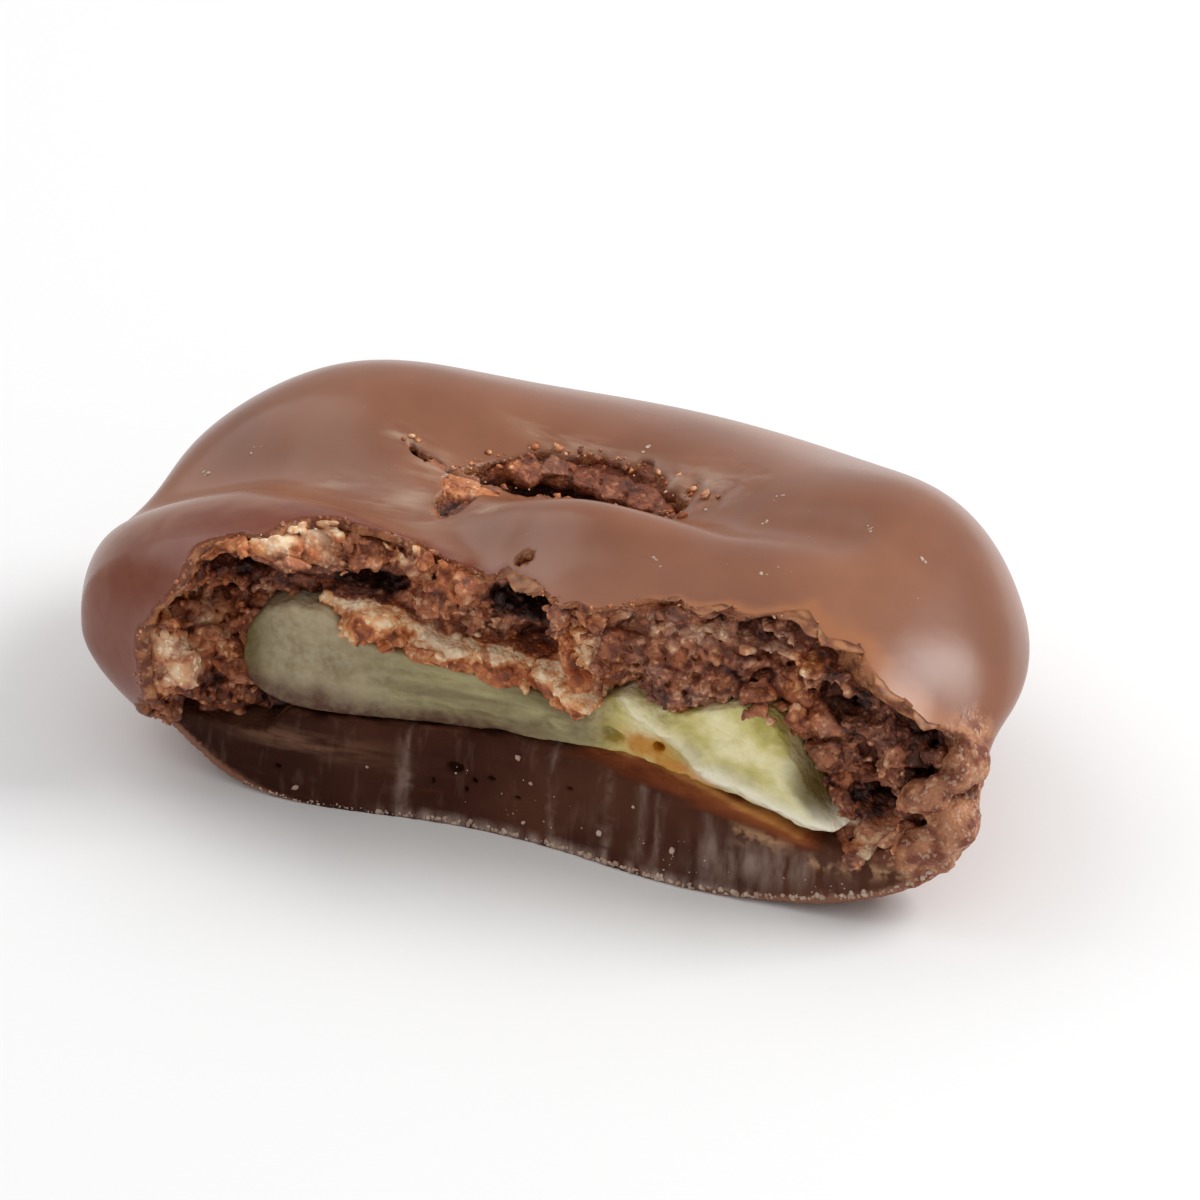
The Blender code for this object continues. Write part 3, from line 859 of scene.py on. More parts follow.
# Blocks and hollows of the broken crumb: middle x and z, spread along x and z, and amount, where a
# plus stands forward and a minus is a hollow.
CRUMB_RELIEF = (
    (4.6, 7.6, 1.8, 1.6, 0.75),
    (1.5, 6.3, 1.0, 0.8, 0.45),
    (-10.9, 4.6, 0.6, 0.9, 0.8),
    (-9.9, 4.3, 0.3, 0.9, 0.4),
    (-7.5, 8.6, 1.3, 0.6, 0.4),
    (-3.2, 7.4, 1.5, 0.8, 0.5),
    (-13.0, 2.9, 0.4, 0.9, -1.5),
    (-9.6, 7.4, 1.0, 0.5, -2.4),
    (-10.6, 6.0, 0.5, 0.9, -0.9),
    (-5.9, 7.2, 1.1, 0.42, -2.4),
    (-0.5, 7.3, 0.9, 0.6, -1.0),
    (-0.3, 6.1, 0.9, 0.45, -1.2),
    (7.2, 9.1, 0.6, 0.35, -1.6),
    (7.6, 7.1, 1.0, 0.35, -0.7),
    (10.1, 7.0, 0.8, 0.5, -1.8),
    (10.9, 5.4, 0.5, 0.7, -0.8),
    (11.3, 3.4, 0.55, 0.5, -1.9),
    (12.6, 6.4, 0.7, 0.8, -1.6),
    (11.7, 2.5, 1.1, 0.45, 0.6),
)

# The upright ridge in the middle of the crumb: its x and how far it stands out.
RIDGE_X = 2.25
RIDGE_REACH = 0.75

# How far the plain face of the crumb lies behind the bitten face.
CRUMB_BEHIND = 0.75

# Clumps and bits of crumb: size and seed, and those of the fissure.
CLUMPS = ((1.3, 1.1, 0.85), 56)
BITS = (0.42, 57)
FISSURE_CLUMPS = ((0.8, 0.7, 0.8), 58)

# Pores and grains: how many, smallest and largest size, and seed.
CRUMB_PORES = (4000, (0.05, 0.17), 61)
CRUMB_GRAINS = (5000, (0.05, 0.18), 62)
LEDGE_GRAINS = (900, (0.04, 0.11), 65)
FISSURE_PORES = (120, (0.05, 0.1), 63)
FISSURE_GRAINS = (220, (0.04, 0.11), 64)

# How far behind the bite the grains end, on the crumb and on its ledge, along y.
GRAINS_END = 4.2
LEDGE_GRAINS_END = 2.2

# How far the crumb reaches into the coating's wall and into its base, how far it stays off the
# skin where it covers the coating's broken edge, off the banana and under the fissure.
INTO_WALL = 0.1
INTO_BASE = 0.12
UNDER_SKIN = 0.1
OFF_BANANA = 0.06
UNDER_FISSURE = 1.9

# The pit in the fissure's crumb: middle and half sizes, and the pale floor beside it, as middle x
# and y and spreads.
FISSURE_CRUMB_PIT = ((-4.35, 4.95, 8.7), (0.8, 0.9, 0.85))
PIT_FLOOR = (-3.9, 4.4, 0.6, 0.5)

# The tone of crumb that no grain covers.
PLAIN_TONE = 0.35


def ledge_share(x, z):
    """1 on the ledge over the banana, 0 off it."""
    over = z - along(LEDGE, x) + rough("ledge edge", x, 0.0, 0.0)
    return between(-1.7, -1.4, -0.06, 0.08, over) * between(-7.2, -6.9, 2.4, 2.9, x)


def layer_wave(x, z):
    """The crumb's layers at the right end, 1 on each crest and -1 between, and where they are."""
    height = z + LAYER_TILT * (x - 8) + rough("layer waves", x, 0.0, z)
    return np.sin(2 * math.pi * height / LAYER_THICKNESS), patch(x, z, *LAYERS)


def crumb_relief(x, z):
    """How far the broken crumb stands out of its plain face: block, ledge, hollows and layers."""
    relief = 0.0
    for swell in CRUMB_RELIEF:
        relief = relief + patch(x, z, *swell)
    ridge = np.clip(1 - (RIDGE_X - x) / 1.7, 0, 1) * smooth_step(3.6, 2.5, x)
    relief = relief + RIDGE_REACH * ridge * between(4.4, 5.2, 8.0, 9.0, z)
    relief = relief + LEDGE_REACH * ledge_share(x, z)
    layer, place = layer_wave(x, z)
    relief = relief + 0.42 * layer * place
    under = smooth_step(0.35, 0.1, z - along(BANANA_LOWER, x)) * between(-9.0, -7.6, 9.6, 10.6, x)
    return relief - 0.5 * under


def left_cover(x):
    """1 where the crumb covers the coating's broken edge, at the left of the bite."""
    return smooth_step(-6.0, -7.5, x)


def crumb_front(x, z, inside):
    """The broken face of the crumb, which starts just behind the torn rim and falls back inwards."""
    crags = rough("crags", x, 0.0, z)
    blocks = smooth_step(0.2, 0.8, rough("far blocks", x, 0.0, z))
    crags = crags + 0.5 * blocks * smooth_step(3.0, 5.0, np.abs(x - 1))
    thickness = wall(x, z)
    by_rim = coat_front(x, z) + 0.25 + 0.9 * np.clip(inside - thickness, 0, 4)
    by_rim = by_rim + left_cover(x) * (0.55 * np.clip(inside, 0, thickness) - 0.37)
    return smooth_min(face_line(x, z) + CRUMB_BEHIND, by_rim, 0.5) + crags - crumb_relief(x, z)


def clump_relief(x, y, z):
    """How far the crumb's clumps and bits stand back, in mm, with gaps between them."""
    x = x + rough("clump shift", x, y, z)
    gap, number = clumps(x, y, z, *CLUMPS)
    bit_gap, bit_number = clumps(x, y, z, *BITS)
    broken = smooth_step(-0.5, 0.5, rough("clump breaks", x, y, z))
    cracks = 0.4 * smooth_step(0.2, 0.0, gap) * broken
    cracks = cracks + 0.1 * smooth_step(0.3, 0.0, bit_gap) * (1.2 - broken)
    return cracks + 0.24 * number + 0.04 * bit_number


def banana_room(x, y, z):
    """Below 0 in the banana slice, whose bitten edge fades into its plain rounded form behind."""
    across, back = (x - BANANA_MIDDLE[0]) / BANANA_HALF[0], (y - BANANA_MIDDLE[1]) / BANANA_HALF[1]
    reach = np.hypot(across, back)
    behind = smooth_step(*BANANA_FADE_Y, y)
    upper, lower = (
        along(edge, x) * (1 - behind) + height * behind
        for edge, height in zip((BANANA_UPPER, BANANA_LOWER), BANANA_BACK)
    )
    middle, half = (upper + lower) / 2, (upper - lower) / 2
    half = half * (1 - np.clip(reach, 0, 1) ** 16) ** 0.5
    return np.maximum(np.abs(z - middle) - half, (reach - 1) * 8)


def grow_grains(field, tone, axes, kind, where, pores=False):
    """Presses grains onto the surface of the form, or pores into it, each with a tone of its own."""
    count, sizes, seed = kind
    rng = np.random.default_rng(seed)
    spots = np.argwhere((np.abs(field) < 0.05) & where)
    chosen = spots[rng.integers(0, len(spots), count)]
    radii = sizes[0] * (sizes[1] / sizes[0]) ** (rng.random(count) ** 1.6)
    turns = np.linalg.qr(rng.normal(0, 1, (count, 3, 3)))[0] / rng.uniform(0.7, 1.25, (count, 3, 1))
    shades = rng.random(count)
    jitter = rng.normal(0, 0.03, (count, 3))
    for cell, radius, turn, shade, move in zip(chosen, radii, turns, shades, jitter):
        middle = np.array([axis[i] for axis, i in zip(axes, cell)]) + move
        cells, parts = [], []
        for axis, at in zip(axes, middle):
            low, high = np.searchsorted(axis, (at - radius * 1.4 - 0.1, at + radius * 1.4 + 0.1))
            cells.append(slice(low, high))
            parts.append(axis[low:high] - at)
        x, y, z = open_grid(*parts)
        sides = [np.abs(row[0] * x + row[1] * y + row[2] * z) for row in turn]
        gap = np.maximum(np.maximum.reduce(sides), sum(sides) / 1.9) - radius
        old = field[tuple(cells)]
        if pores:
            old[...] = np.maximum(old, -gap)
        else:
            tone[tuple(cells)][gap < old] = shade
            old[...] = np.minimum(old, gap)


def read_grid(grid, axes, points):
    """The value of the grid's cell at each point."""
    index = [np.clip(np.searchsorted(axis, points[:, i]), 0, len(axis) - 1) for i, axis in enumerate(axes)]
    return grid[index[0], index[1], index[2]]


def shape_crumb(axes):
    """The crumb behind the bite as a field, and the tone of each of its places."""
    x, y, z = open_grid(*axes)
    depth = depth_field(*axes)
    limit = wall(x, z) - INTO_WALL
    behind_rim = y - coat_front(x, z) - 0.55 * np.clip(-depth, 0, 0.6)
    covered = left_cover(x) * smooth_step(0.6, 0.4, behind_rim)
    limit = limit + (UNDER_SKIN - limit) * covered * smooth_step(2.2, 2.8, z)
    field = np.maximum(depth + limit, along(BASE_TOP, x) - INTO_BASE - z)
    field = smooth_max(field, (crumb_front(x, z, -depth) - y) * 0.8, 0.15)
    room = np.maximum(fissure_reach(x, y) - 0.3, skin_height(x, y) - UNDER_FISSURE - z)
    field = smooth_max(field, -room, 0.1)
    field = dig(field, x, y, z, (RIM_HOLE,), 0.1)
    field = dig(field, x, y, z, CRUMB_VOIDS, 0.12)
    field = np.maximum(field, -banana_room(x, y, z) - OFF_BANANA).astype(np.float32)
    near, (nx, ny, nz) = near_surface(field, 0.7, axes)
    chunks = rough("crumb chunks", nx, ny, nz) + clump_relief(nx, ny, nz)
    chunks = chunks * (1 - 0.6 * ledge_share(nx, nz)) * (1 - 0.6 * layer_wave(nx, nz)[1])
    field[near] += (chunks * smooth_step(-0.05, 0.1, ball(nx, 0.0, nz, *NO_CLUMPS))).astype(np.float32)
    tone = np.full(field.shape, PLAIN_TONE, np.float32)
    ledge = ledge_share(x, z)
    grainy = (y < GRAINS_END) & (ball(x, 0.0, z, *NO_GRAINS) >= 0) & (ledge <= 0.5)
    grow_grains(field, tone, axes, CRUMB_PORES, grainy, pores=True)
    grow_grains(field, tone, axes, CRUMB_GRAINS, grainy)
    grow_grains(field, tone, axes, LEDGE_GRAINS, (y < LEDGE_GRAINS_END) & (ledge > 0.3))
    inside_coat = np.maximum(field, depth + 0.1 + 0.3 * smooth_step(3.0, 5.0, y))
    return np.where(z > 3.0, inside_coat, field), tone


def make_crumb(material):
    """The crumb between coating and banana, with larger faces where no one sees it."""
    axes = grid_of(CRUMB_SPACE, CRUMB_STEP, CRUMB_BACK_STEP)
    field, tone = shape_crumb(axes)
    form = surface_of(field, *axes)
    piece = make_piece("broken_crumb", *form, material, "crumbly_chocolate", "crumbly_chocolate")
    x, y, z = points_of(piece).T
    front = crumb_front(x, z, 3.0)
    against_coat = skin_gap(x, y, z) > -wall(x, z) - INTO_WALL
    covered = (against_coat | (banana_room(x, y, z) < 0.12)) & (y > front + 0.8)
    thin_out(piece, covered | (y > np.minimum(front + 1.6, GRAINS_END)), CRUMB_KEPT)
    points = points_of(piece)
    paint_crumb(piece, points, read_grid(tone, axes, points))


def shape_fissure_crumb(axes):
    """The crumb under the fissure as a field, and the tone of each of its places."""
    x, y, z = open_grid(*axes)
    depth = depth_field(*axes)
    skin = skin_height(x, y)
    field = smooth_max(z - skin + 0.15, skin - 2.2 - z, 0.2)
    field = smooth_max(field, fissure_reach(x, y) - 0.8, 0.3)
    room = fissure_room(x, y, z, 0.0, 0.1 - rough("fissure pebbles", x, y, 0.0))
    room = np.minimum(room, ball(x, y, z, *FISSURE_CRUMB_PIT))
    field = smooth_max(field, -room, 0.1)
    field = heap(field, x, y, z, FISSURE_LUMPS, 0.12)
    near, places = near_surface(field, 0.6, axes)
    gap, number = clumps(*places, *FISSURE_CLUMPS)
    field[near] += 0.07 - 0.18 * np.minimum(gap, 0.5) + 0.06 * number + rough("fissure grit", *places)
    field = field.astype(np.float32)
    tone = np.full(field.shape, PLAIN_TONE, np.float32)
    grow_grains(field, tone, axes, FISSURE_PORES, z > skin - UNDER_FISSURE, pores=True)
    grow_grains(field, tone, axes, FISSURE_GRAINS, z > skin - UNDER_FISSURE)
    return np.maximum(field, depth + 0.06), tone


def make_fissure_crumb(material):
    """The crumb that shows in the fissure of the top, with its lumps and pebbles, painted darker as
    shade the deeper it lies, in its crevice, between its clumps and in its pit.
    """
    axes = tuple(np.arange(low, high, FISSURE_STEP) for low, high in FISSURE_SPACE)
    field, tone = shape_fissure_crumb(axes)
    form = surface_of(field, *axes)
    piece = make_piece("fissure_crumb", *form, material, "crumbly_chocolate")
    points = points_of(piece)
    x, y, z = points.T
    grain = read_grid(tone, axes, points)
    sunk = skin_height(x, y) - z
    crevice = smooth_step(0.45, 0.85, sunk + rough("crevice", x, y, z))
    gap, number = clumps(x, y, z, *FISSURE_CLUMPS)
    # Painted shade: darker the deeper the crumb lies below the skin, in the crevice and in the gaps between
    # clumps.
    light = 0.36 - 0.12 * smooth_step(0.4, 1.0, sunk) + 0.3 * (grain - PLAIN_TONE) + 0.06 * number
    light = light * (1 - 0.9 * crevice) - 0.12 * smooth_step(0.1, 0.0, gap)
    lumps = between(5.5, 5.8, 6.6, 6.9, y) * smooth_step(-2.7, -3.1, x)
    floor = patch(x, y, *PIT_FLOOR)
    light = light + (0.5 - light) * lumps + (0.36 - light) * floor
    # Painted shade in the pit at the fissure's left end.
    pit = smooth_step(-4.0, -4.4, x) * smooth_step(6.1, 5.7, y) * smooth_step(0.3, 0.6, sunk)
    light = light * (1 - 0.85 * pit)
    paint(piece, light=light * 0.92, warm=0.6 + 0.4 * lumps - 0.4 * floor + 0.2 * number)


# Where the crumb is lighter or darker and warmer: its own tones, and painted shade where the
# lightness is low, over the hollows of its relief. Middle x and z, spread along x and z, lightness,
# warmth.
CRUMB_TONES_AND_SHADE = (
    (-12.6, 5.6, 1.0, 2.4, 0.64, 1.1),
    (-10.8, 8.2, 1.2, 0.5, 0.62, 1.1),
    (-7.6, 9.3, 1.6, 0.5, 0.84, 0.7),
    (-10.9, 4.7, 0.6, 0.7, 0.92, 0.4),
    (-11.6, 3.0, 1.2, 0.6, 0.3, 0.8),
    (-10.6, 6.4, 0.7, 0.9, 0.42, 1.0),
    (-9.9, 4.3, 0.4, 1.0, 0.5, 1.0),
    (-9.5, 7.3, 1.2, 0.5, 0.1, 0.5),
    (-7.3, 8.2, 1.3, 0.6, 0.5, 0.5),
    (-5.9, 7.2, 1.0, 0.4, 0.18, 0.3),
    (-4.2, 8.4, 1.2, 0.6, 0.7, 0.7),
    (-3.4, 7.4, 1.6, 0.9, 0.7, 0.6),
    (-2.4, 6.4, 1.2, 0.6, 0.66, 0.6),
    (-0.3, 6.0, 1.1, 0.45, 0.46, 0.8),
    (1.5, 6.0, 0.9, 1.1, 0.62, 1.0),
    (3.4, 8.7, 1.5, 0.6, 0.56, 0.5),
    (4.4, 7.4, 1.7, 1.2, 0.5, 0.3),
    (7.6, 8.6, 2.2, 0.9, 0.54, 0.15),
    (9.0, 8.05, 0.5, 0.4, 0.74, 1.2),
    (9.6, 7.5, 1.0, 0.3, 0.55, 0.8),
    (10.8, 7.2, 0.9, 0.6, 0.14, 0.3),
    (8.8, 6.7, 0.9, 0.6, 0.64, 0.7),
    (10.6, 5.6, 1.0, 0.9, 0.55, 0.3),
    (12.3, 6.4, 0.8, 1.0, 0.16, 0.4),
    (11.8, 4.6, 0.8, 0.8, 0.6, 0.35),
    (11.2, 3.4, 0.6, 0.5, 0.12, 0.4),
    (11.6, 2.5, 1.4, 0.5, 0.78, 0.35),
)

# The plain crumb's lightness and warmth, and those of the pale crest of the ledge, of the rust-
# coloured crumb under it, and of the flat facet at its right end.
PLAIN_CRUMB = (0.45, 0.5)
CREST = (0.96, 0.85)
UNDER_LEDGE = (0.6, 1.2)
FACET = (0.68, 1.2)


def ledge_masks(x, y, z):
    """The pale crest of the ledge, the crumb under it and the facet at its right end, each 0 to 1."""
    over, behind = z - along(LEDGE, x), y - face_line(x, z) - CRUMB_BEHIND
    ledge = between(-7.4, -7.0, 2.3, 2.8, x) * (behind < 0)
    split = -0.34 + rough("ledge split", x, 0.0, z) + 0.1 * smooth_step(-2.5, 1.5, x)
    crest = ledge * smooth_step(split - 0.06, split + 0.06, over) * smooth_step(0.22, 0.1, over)
    crest = crest * smooth_step(1.4, 0.8, behind + LEDGE_REACH + rough("ledge crest", x, y, z))
    under = ledge * smooth_step(split + 0.06, split - 0.06, over)
    facet = smooth_step(0.15, -0.15, z - 5.8 - 1.03 * (x + 0.4)) * between(-0.5, -0.1, 2.1, 2.3, x)
    return crest, under, facet * smooth_step(0.05, 0.25, over)


def paint_crumb(piece, points, grain):
    """The crumb's lightness and warmth, by place, clump and grain, with painted shade in its hollows,
    cracks, hole and voids, deeper in and between its layers, and painted light on the layers' crests.
    """
    x, y, z = points.T
    light, warm, weight = *PLAIN_CRUMB, 1.0
    for *place, patch_light, patch_warm in CRUMB_TONES_AND_SHADE:
        share = patch(x, z, *place, 2.5)
        light, warm, weight = light + share * patch_light, warm + share * patch_warm, weight + share
    light, warm = light / weight, warm / weight
    masks = ledge_masks(x, y, z)
    tones = (CREST, UNDER_LEDGE, FACET)
    light = light + sum((tone[0] - light) * share for share, tone in zip(masks, tones))
    warm = warm * (1 - sum(masks)) + sum(tone[1] * share for share, tone in zip(masks, tones))
    ridge = bell(x - RIDGE_X - 0.1, 0.14) * between(4.3, 4.8, 6.8, 7.6, z)
    light, warm = light + 0.25 * ridge, warm * (1 - 0.5 * ridge)
    # Painted shade: dark red-brown crumb in the strip set back under the banana's lower edge.
    shade_under_banana = smooth_step(0.15, 0.0, z - along(BANANA_LOWER, x)) * between(-9.5, -8.5, 10.0, 10.6, x)
    light, warm = light + (0.14 - light) * shade_under_banana, warm + (1 - warm) * shade_under_banana
    layer, place = layer_wave(x, z)
    # Painted shade in the troughs between the layers, and painted light on their crests.
    light = light - 0.3 * place * smooth_step(0.2, -0.7, layer) + 0.08 * place * smooth_step(0.3, 1.0, layer)
    moved = x + rough("clump shift", x, y, z)
    gap, number = clumps(moved, y, z, *CLUMPS)
    bit_number = clumps(moved, y, z, *BITS)[1]
    # Tone by clump and bit, and painted shade in the cracks between clumps.
    light = light + 0.1 * number + 0.06 * bit_number - 0.22 * smooth_step(0.16, 0.0, gap)
    warm = warm + 0.25 * bit_number
    # Painted shade, darker the further the crumb lies behind the bitten face, with its grains' tones faded
    # there.
    recess = smooth_step(0.2, 1.8, y - face_line(x, z) - 0.5)
    light = light * (1 - 0.55 * recess) + 0.32 * (grain - 0.38) * (1 - 0.6 * recess)
    edge = smooth_step(0.5, 0.2, -skin_gap(x, y, z)) * smooth_step(3.0, 4.5, z)
    edge = edge * (0.5 + 0.5 * rough("pale edge", x, y, z)) * smooth_step(2.0, -1.0, x)
    light, warm = light + 0.22 * edge, warm + 0.4 * edge
    # Painted shade: the hole under the rim is painted dark inside.
    hole = smooth_step(0.35, 0.0, ball(x, y, z, *RIM_HOLE)) * smooth_step(0.9, 1.6, y)
    light, warm = light * (1 - hole), warm * (1 - hole)
    # Painted shade in the voids between the blocks.
    for middle, radii in CRUMB_VOIDS:
        void = smooth_step(0.3, 0.0, ball(x, y, z, middle, radii)) * smooth_step(0.7, 1.5, y)
        light = light * (1 - 0.6 * void)
    paint(piece, light=light, warm=warm)


# Dents in the bitten banana: middle and half sizes.
BANANA_DENTS = (
    ((4.5, 0.3, 4.35), (0.2, 0.55, 0.14)),
    ((2.8, 0.4, 4.3), (0.45, 0.5, 0.22)),
    ((-1.9, 0.55, 3.75), (0.5, 0.35, 0.14)),
    ((0.3, 0.6, 3.95), (0.6, 0.35, 0.16)),
    ((1.6, 0.5, 4.75), (0.5, 0.4, 0.2)),
)

# Seed ovals in the bitten banana: middle x and z, and half width and height.
BANANA_SEEDS = (
    (-1.75, 3.7, 0.62, 0.17), (-0.35, 3.95, 0.6, 0.2), (1.0, 4.1, 0.55, 0.24), (-3.1, 3.75, 0.5, 0.12),
)

# The amber patch under the wet flesh: middle x and z, spreads and amount, and the line that it
# runs out in. The dark olive patch painted as shade along the upper edge of the dry flesh, under
# the ledge: middle x and spread.
AMBER_PATCH = (4.1, 4.25, 0.9, 0.42, 1.5)
AMBER_LINE = ((4.2, 4.05), (6.6, 3.7))
LEDGE_SHADE_PATCH = (0.8, 1.5)


def shape_banana(axes):
    """The slice as a field, with the waves, fibres, pale ridges and dents of its bitten face."""
    x, y, z = open_grid(*axes)
    wet = smooth_step(1.8, 3.2, x)
    waves = rough("banana waves", x, 0.0, z) + wet * rough("wet waves", x, 0.0, z)
    fibres = rough("fibres", x, 0.0, z) * smooth_step(-7.0, -3.5, x) * (1 - 0.6 * wet)
    white_edge_and_ridge = 0.3 * bell(z - along(WHITE_EDGE, x), 0.3) * smooth_step(5.0, 6.2, x)
    white_edge_and_ridge = white_edge_and_ridge + 0.3 * bell(distance_to(BANANA_RIDGE, x, z), 0.35)
    front = face_line(x, z) + 0.1 + waves + fibres - white_edge_and_ridge - y
    field = dig(banana_room(x, y, z), x, y, z, BANANA_DENTS, 0.1)
    return smooth_max(field, front, 0.15).astype(np.float32)


def make_banana(material):
    """The bitten slice: dry and matt at the left, wet and glassy at the right."""
    axes = grid_of(BANANA_SPACE, BANANA_STEP, CRUMB_BACK_STEP)
    form = surface_of(shape_banana(axes), *axes)
    piece = make_piece("banana_flesh", *form, material, "banana", "banana_slice")
    points = points_of(piece)
    thin_out(piece, points[:, 1] > face_line(points[:, 0], points[:, 2]) + 1.5, BANANA_KEPT)
    x, _, z = points_of(piece).T
    upper, lower = along(BANANA_UPPER, x), along(BANANA_LOWER, x)
    height = (z - lower) / np.maximum(upper - lower, 0.3)
    # The white edge and pale ridge: the flesh's own pale colour, and painted highlights of the wet flesh.
    white_edge_and_ridge = bell(z - along(WHITE_EDGE, x) + 0.05, 0.36) * smooth_step(5.0, 6.4, x)
    white_edge_and_ridge = np.maximum(white_edge_and_ridge, 0.55 * bell(distance_to(BANANA_RIDGE, x, z), 0.3))
    amber = np.maximum(patch(x, z, *AMBER_PATCH), 1.4 * bell(distance_to(AMBER_LINE, x, z), 0.2))
    amber = amber * (0.95 + rough("amber", x, 0.0, z))
    # The flesh's own olive tint at the left end and round the seeds, and dark olive painted as shade at its
    # upper right tip and along its upper edge under the ledge.
    olive = np.maximum(bell(x + 9.3, 0.6), smooth_step(8.2, 9.6, x) * smooth_step(0.35, 0.6, height))
    middle, width = LEDGE_SHADE_PATCH
    olive = np.maximum(olive, 0.9 * bell(x - middle, width) * smooth_step(0.6, 0.9, height))
    for mid_x, mid_z, half_x, half_z in BANANA_SEEDS:
        edge = np.abs(np.hypot((x - mid_x) / half_x, (z - mid_z) / half_z) - 1)
        olive = np.maximum(olive, smooth_step(0.4, 0.1, edge) * (0.3 + rough("seed edge", x, 0.0, z)))
    fringe = smooth_step(0.42, 0.05, height + rough("brown fringe", x, 0.0, z)) * smooth_step(2.5, -2.0, x)
    paint(piece, glassy=smooth_step(1.5, 3.5, x), white_edge=white_edge_and_ridge, amber=amber, olive=olive)
    paint(piece, fibre=between(-6.5, -3.0, 1.4, 2.6, x), fringe=fringe)


# Flakes of the coating's torn lip: from and to which direction along the rim, how far each reaches
# out, how far its edge lifts, and how ragged it is.
RIM_FLAKES = (
    (21.0, 26.5, 0.4, 0.1, 1.0),
    (25.5, 31.5, 0.6, 0.06, 0.8),
    (14.5, 18.5, 0.3, 0.02, 1.5),
    (10.0, 13.0, 0.3, 0.02, 1.5),
    (36.5, 41.5, 0.55, 0.25, 1.0),
    (44.5, 47.5, 0.25, 0.1, 1.5),
    (68.0, 71.5, 0.3, 0.1, 1.0),
    (82.0, 105.0, 0.6, 0.05, 0.25),
)
FLAKE_THICKNESS = 0.07
FLAKE_STEPS = 4
FLAKE_ROWS_PER_DEGREE = 2.2

# Larger tan crumbs at the lips of the fissure and at the head of its crack, as x, y and size.
FISSURE_CRUMBS = (
    (-6.8, 7.3, 0.16), (-6.95, 7.1, 0.1), (-6.55, 7.25, 0.12), (-1.9, 7.3, 0.16), (-1.55, 7.4, 0.2),
    (-1.2, 7.35, 0.15), (-0.7, 7.4, 0.14), (1.9, 7.6, 0.16), (2.3, 7.55, 0.2), (1.2, 7.5, 0.25),
    (0.9, 7.45, 0.2), (-3.3, 8.95, 0.15), (-2.6, 9.15, 0.2), (-1.9, 9.3, 0.14), (1.5, 9.0, 0.2),
    (2.2, 8.6, 0.16), (2.7, 8.3, 0.2), (3.2, 8.15, 0.13),
)

# Loose crumbs along the torn rim: from and to which direction, how many, and the largest size.
RIM_CRUMBS = (
    (18, 62, 40, 0.09),
    (64, 84, 24, 0.08),
    (84, 118, 12, 0.07),
    (118, 150, 36, 0.12),
    (150, 186, 24, 0.09),
)
SMALLEST_CRUMB = 0.035

# Loose crumbs along the lips of the fissure: the line and how many, and how far they scatter.
LIP_CRUMBS = ((FISSURE_BACK, 90), (FISSURE_FRONT, 26))
LIP_SCATTER = 0.14

# Pale scuffs and flakes on the skin, as x and y, and specks of sugar on the cut face, as x, z and
# size.
SCUFFS = (
    (1.95, 7.62), (-0.04, 7.56), (2.95, 7.8), (3.56, 2.25), (0.02, 9.88), (-11.75, 6.33),
    (-13.24, 5.76), (7.09, 2.95), (11.09, 5.87), (8.89, 6.57), (5.39, 7.64), (5.51, 6.26),
)
FACE_SPECKS = (
    (-7.43, 0.5, 0.13), (-4.74, 0.12, 0.1), (-0.31, 2.7, 0.11), (2.65, 0.96, 0.12), (5.18, 1.08, 0.13),
    (0.16, 1.92, 0.09), (0.0, 0.59, 0.08), (2.94, 0.15, 0.12), (3.79, 2.2, 0.08), (-5.2, 1.5, 0.07),
)

# How many fine specks lie on the skin, on the cut face and along its lower edge, where at the left
# end they also stand in as painted highlight of the edge.
SKIN_DUST = 70
FACE_DUST = 60
EDGE_FROST_AND_GLINT = 420

# The seeds of where crumbs and specks lie and of their shapes.
CRUMB_SEEDS = (91, 92)
SUGAR_SEEDS = (93, 94)

# The way out of the bitten face.
FORWARD = np.array((0.0, -1.0, 0.0))


def rim_places(turns, behind):
    """Points of the skin along the torn rim, this far behind it in mm, and the ways out of the skin."""
    turn = np.radians(turns)[:, None]
    reach = np.arange(2.0, 19.0, 0.04)[None, :]
    x, z = reach * np.cos(turn), RIM_MIDDLE + reach * np.sin(turn)
    y = coat_front(x, z) + np.asarray(behind)[:, None]
    last = np.argmax(whole_chip(x, y, z) > 0, 1)
    rows = np.arange(len(turns))
    places = np.stack([v[rows, last] for v in (x, y, z)], 1)
    ways, slope = skin_slope(*places.T)
    return places - ways * (whole_chip(*places.T) / slope)[:, None], ways


def flake_points(number, start, end, reach, lift, ragged):
    """The upper and then the lower points of a flake, row by row along the rim."""
    count = max(8, int((end - start) * FLAKE_ROWS_PER_DEGREE))
    places, ways = rim_places(np.linspace(start, end, count), np.full(count, 0.12))
    out = FORWARD - ways * (-ways[:, 1:2])
    out = out / np.linalg.norm(out, axis=1)[:, None]
    share = np.linspace(0, 1, count)
    jag = ragged * rough("flake edge", share * (end - start) * 0.7 + 20 * number, 0.0, 0.0)
    width = reach * np.sin(math.pi * share) ** 0.7 * np.clip(1 + 0.45 * jag, 0.2, 2) + 0.02
    points = []
    for side in (0, 1):
        for i in range(count):
            for part in np.arange(FLAKE_STEPS) / (FLAKE_STEPS - 1):
                rise = 0.03 + lift * part**2 + 0.05 * jag[i] * part
                rise = rise - side * FLAKE_THICKNESS * (1 - 0.5 * part)
                points.append(places[i] + out[i] * (width[i] + 0.12) * part + ways[i] * rise)
    return points, count


